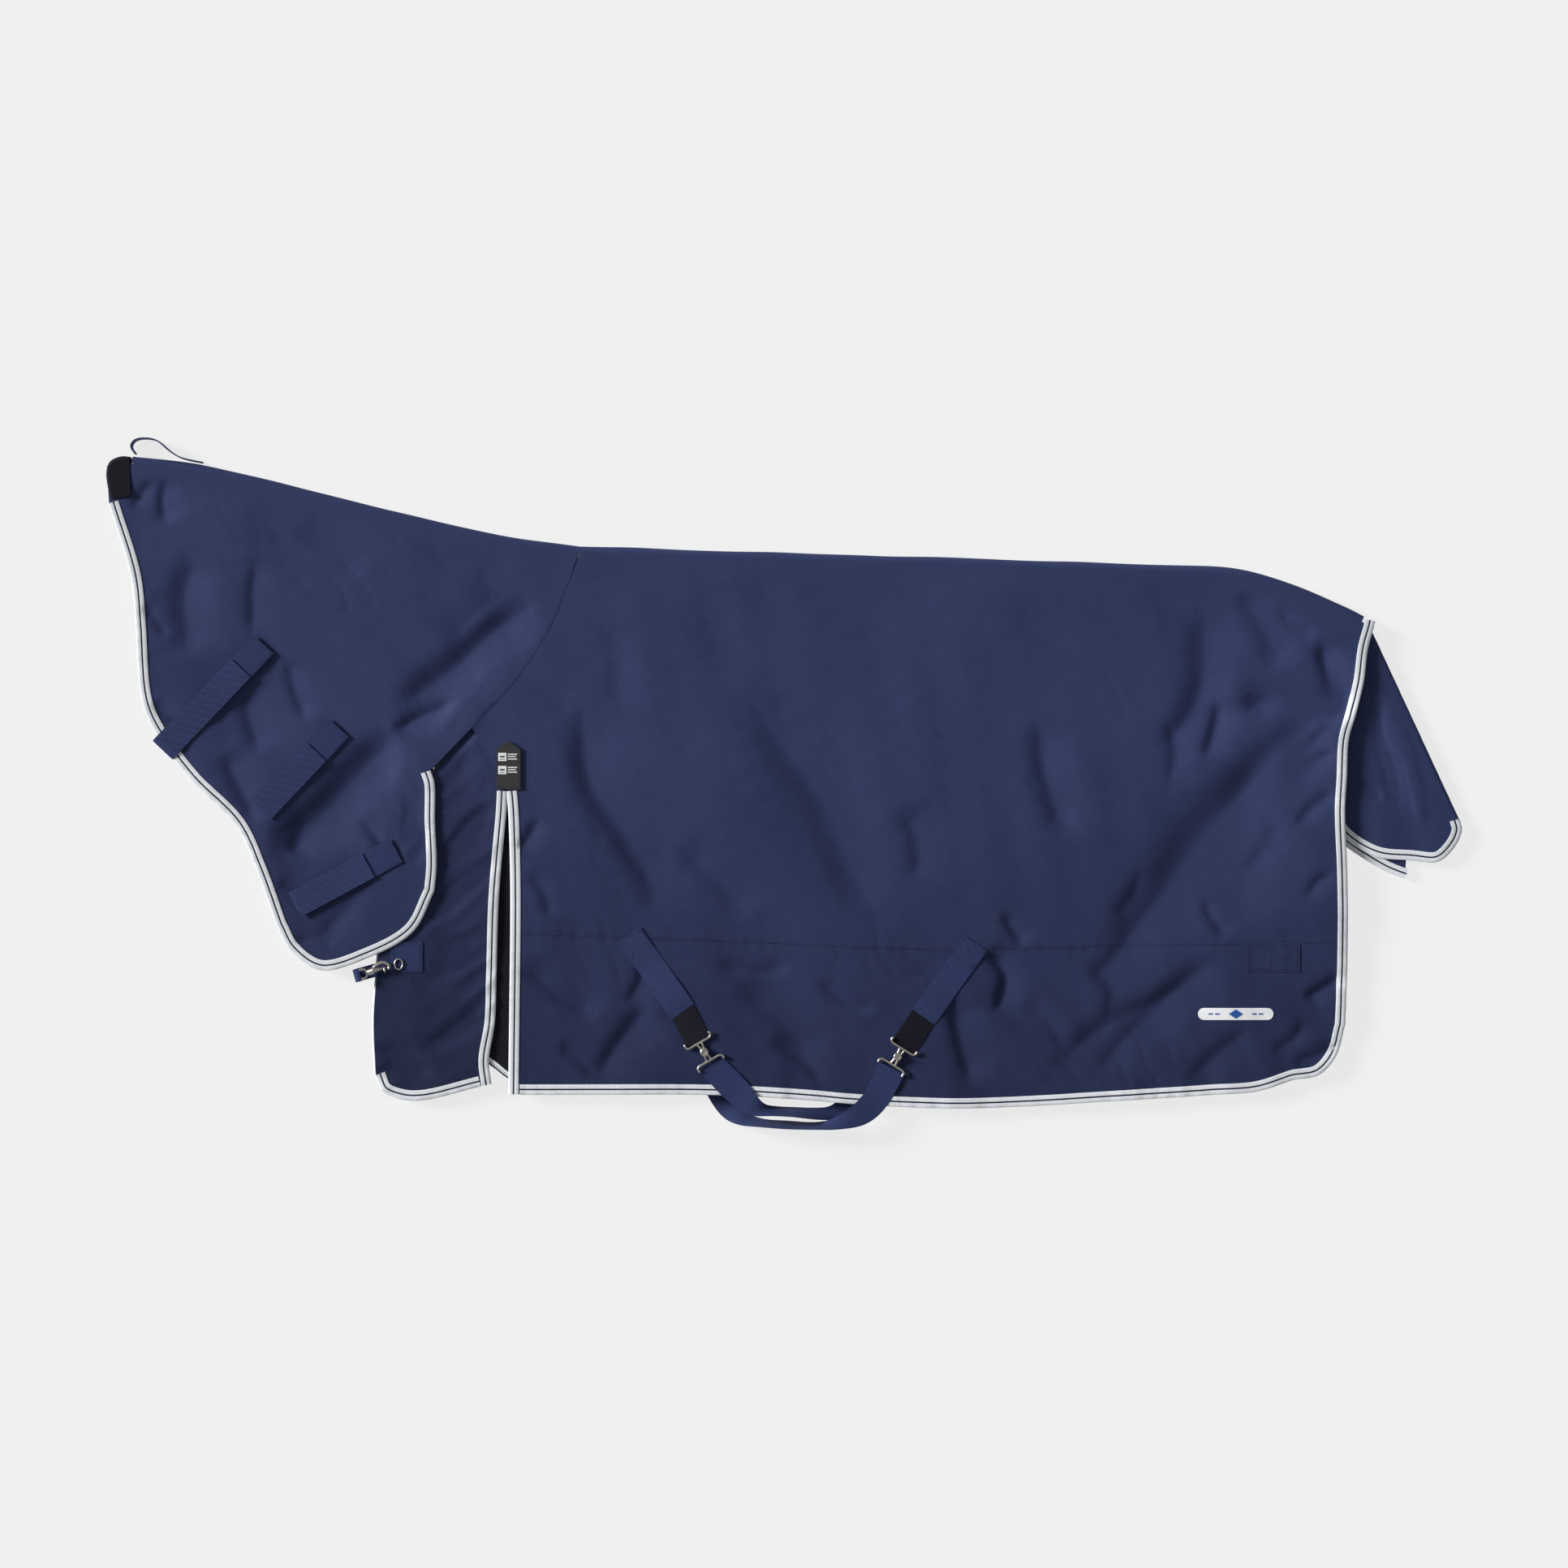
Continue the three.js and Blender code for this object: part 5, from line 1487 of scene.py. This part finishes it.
def makeLabel(look):
    piece = mergedPiece("shoulderLabel", [plateSkin(look["outline"], look["low"], look["thick"],
                                                    look["bevel"])], rubber, 30)
    attach(piece, ["shoulder_label"])
    top = look["low"] + look["thick"]
    marks = []
    left, right = look["markAt"]
    for y in look["rows"]:
        marks.append(barSkin(left, y, look["mark"], look["mark"], top - 0.02))
        for row, length in enumerate(look["bars"]):
            marks.append(barSkin(right + length / 2, y + 5 - look["barStep"] * row, length,
                                 look["bar"], top - 0.02))
    attach(mergedPiece("labelMarks", marks, printWhite, 30), [])
    holes = []
    for y in look["rows"]:
        holes.append(barSkin(left, y + 0.5, 9, 3.0, top + 0.22, 0.12))
        holes.append(barSkin(left, y - 4.2, 9, 1.2, top + 0.22, 0.12))
    attach(mergedPiece("labelMarkCentres", holes, rubber, 30), [])
    outline = np.array(look["outline"], float)
    middle = outline.mean(0)
    sew(boxRow((middle + (outline - middle) * 0.93) * mm), flatAt(top), 0.05)


def makeBadge(look):
    x, y = look["centre"]
    half, end = look["half"][1], look["half"][0] - look["half"][1]
    turns = np.linspace(-math.pi / 2, math.pi / 2, 17)
    pill = [(x + end + half * math.cos(t), y + half * math.sin(t)) for t in turns]
    pill += [(x - end - half * math.cos(t), y - half * math.sin(t)) for t in turns]

    def follow(skin):
        verts, faces = skin
        verts = verts.copy()
        verts[:, 2] += nearRise(verts[:, :2])
        return verts, faces

    low = level["nearTop"] + 0.25
    points, faces = fillOutline(np.array(pill) * mm, 3 * mm)
    top = (low + look["thick"]) * mm + nearRise(points)
    piece = newPiece("flankBadge", np.column_stack([points, top]), faces, printWhite, points)
    thicken(piece, look["thick"])
    piece.data.set_sharp_from_angle(angle=math.radians(50))
    attach(piece, ["flank_badge"])
    marks = [follow(barSkin(x + offset, y, 8, 2.6, low + 1.0)) for offset in look["dashes"]]
    wide, tall = look["diamond"]
    diamond = [(x - wide, y), (x, y - tall), (x + wide, y), (x, y + tall)]
    marks.append(follow(plateSkin(diamond, low + 1.05, 0.3, 0.1)))
    blue = mergedPiece("badgeMarks", marks, printBlue, 30)
    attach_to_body(blue, "root")


makeLabel(shoulderLabel)
makeBadge(flankBadge)
print("label and badge fixed")


# Stitching: one row of thread pieces along each line, made by Geometry Nodes
stitchLook = {"tape": {"pitch": 4.6, "length": 4.0, "width": 1.15},
              "cloth": {"pitch": 3.6, "length": 3.0, "width": 0.75}}


def stitchTree():
    tree = bpy.data.node_groups.new("stitchRow", "GeometryNodeTree")
    for name, kind, way in (("Geometry", "Geometry", "INPUT"), ("Pitch", "Float", "INPUT"),
                            ("Length", "Float", "INPUT"), ("Width", "Float", "INPUT"),
                            ("Thread", "Material", "INPUT"),
                            ("Geometry", "Geometry", "OUTPUT")):
        tree.interface.new_socket(name, in_out=way, socket_type="NodeSocket" + kind)
    given = tree.nodes.new("NodeGroupInput").outputs
    result = tree.nodes.new("NodeGroupOutput")

    def made(kind, inputs=None, **settings):
        return addNode(tree, kind, inputs, **settings).outputs[0]

    curve = made("GeometryNodeMeshToCurve", {0: given["Geometry"]})
    spaced = made("GeometryNodeResampleCurve", {"Curve": curve, "Length": given["Pitch"]},
                  mode="LENGTH")
    bead = made("GeometryNodeMeshUVSphere", {"Segments": 6, "Rings": 4, "Radius": 0.5})
    flatter = made("ShaderNodeMath", {0: given["Width"], 1: 0.55}, operation="MULTIPLY")
    scale = made("ShaderNodeCombineXYZ", {0: given["Length"], 1: given["Width"], 2: flatter})
    stretched = made("GeometryNodeTransform", {"Geometry": bead, "Scale": scale})
    turned = made("FunctionNodeAlignRotationToVector",
                  {"Vector": made("GeometryNodeInputTangent")}, axis="X")
    upright = made("FunctionNodeAlignRotationToVector",
                   {"Rotation": turned, "Vector": (0, 0, 1)}, axis="Z", pivot_axis="X")
    dots = made("GeometryNodeInstanceOnPoints",
                {"Points": spaced, "Instance": stretched, "Rotation": upright})
    smooth = made("GeometryNodeSetShadeSmooth", {0: made("GeometryNodeRealizeInstances",
                                                         {0: dots})})
    done = made("GeometryNodeSetMaterial", {0: smooth, "Material": given["Thread"]})
    tree.links.new(done, result.inputs[0])
    return tree


stitchRow = stitchTree()


def makeStitches(name, rows, look, body):
    verts, edges = [], []
    for row in rows:
        start = len(verts)
        verts.extend(tuple(p) for p in row)
        edges.extend((start + i, start + i + 1) for i in range(len(row) - 1))
    mesh = bpy.data.meshes.new(name)
    mesh.from_pydata(verts, edges, [])
    piece = bpy.data.objects.new(name, mesh)
    scene.collection.objects.link(piece)
    stack = piece.modifiers.new("stitches", "NODES")
    stack.node_group = stitchRow
    values = {"Pitch": look["pitch"] * mm, "Length": look["length"] * mm,
              "Width": look["width"] * mm, "Thread": navyThread}
    for item in stitchRow.interface.items_tree:
        if item.item_type == "SOCKET" and item.in_out == "INPUT" and item.name in values:
            stack[item.identifier] = values[item.name]
    settle(piece)
    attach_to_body(piece, body)


# two rows beside the body seam and one beside the neck seam
for offset in (3.2, -3.8):
    sew(shifted(seamLine, offset * mm), onNear, 0.05)
sew(shifted(line["neckSeam"], 3 * mm)[14:], onNear, 0.05)
# two rows across the chest below the neck's toe, and the tack beside the slit's top
for offset in (0, -6):
    sew(along((-672, -276 + offset), (-548, -273 + offset), 4), onChest, 0.05)
for start, end in (((-667, 36), (-622, 56)), ((-664, 33), (-647, 20)), ((-667, 36), (-650, 22))):
    sew(along(start, end, 2), onNear, 0.05)
sew(along((-612, 62), (-629, 12), 2), onChest, 0.05)
for body, rows in bindingRows.items():
    makeStitches(f"bindingStitches_{body}", rows, stitchLook["tape"], body)
makeStitches("threadStitches_root", threadRows, stitchLook["cloth"], "root")
print("stitching done")


# Studio: a pale floor that glows, soft low light from the left, camera straight above
studio = {"floor": (0.12, 0.12, 0.12), "cameraHeight": 7.2035, "lens": 90,
          "world": 0.27, "glow": 0.765,
          # name, strength, softness, height above the floor and bearing, in degrees
          "suns": (("key", 5.4, 16, 21, 160),)}


def makeStudio(look):
    scene.view_settings.view_transform = "Standard"
    mesh = bpy.data.meshes.new("floor")
    mesh.from_pydata([(-40, -40, -0.0004), (40, -40, -0.0004), (40, 40, -0.0004),
                      (-40, 40, -0.0004)], [], [(0, 1, 2, 3)])
    material, tree, shader = newMaterial("paleFloor", 0.9, 0.0, 0.1)
    place = addNode(tree, "ShaderNodeTexCoord").outputs["Object"]
    speck = addNode(tree, "ShaderNodeTexNoise", {"Vector": place, "Scale": 6.0}).outputs[0]
    low = tuple(c * 0.995 for c in look["floor"])
    tree.links.new(blendColour(tree, speck, low, look["floor"]), shader.inputs["Base Color"])
    shader.inputs["Emission Color"].default_value = (1, 1, 1, 1)
    shader.inputs["Emission Strength"].default_value = look["glow"]
    mesh.materials.append(material)
    floor = bpy.data.objects.new("floor", mesh)
    scene.collection.objects.link(floor)
    world = bpy.data.worlds.new("studioWorld")
    world.use_nodes = True
    world.node_tree.nodes["Background"].inputs[0].default_value = (1, 1, 1, 1)
    world.node_tree.nodes["Background"].inputs[1].default_value = look["world"]
    scene.world = world
    for name, strength, softness, height, bearing in look["suns"]:
        lamp = bpy.data.lights.new(name, "SUN")
        lamp.energy = strength
        lamp.angle = math.radians(softness)
        light = bpy.data.objects.new(name, lamp)
        tilt, turn = math.radians(height), math.radians(bearing)
        away = Vector((math.cos(tilt) * math.cos(turn), math.cos(tilt) * math.sin(turn),
                       math.sin(tilt)))
        light.location = away * 6
        light.rotation_mode = "QUATERNION"
        light.rotation_quaternion = (-away).to_track_quat("-Z", "Y")
        scene.collection.objects.link(light)
    camera = bpy.data.objects.new("camera", bpy.data.cameras.new("camera"))
    camera.data.lens = look["lens"]
    camera.data.sensor_width = 36
    camera.location = (0, 0, look["cameraHeight"])
    camera.data.clip_end = 100
    scene.collection.objects.link(camera)
    scene.camera = camera


makeStudio(studio)

print("scene ready")
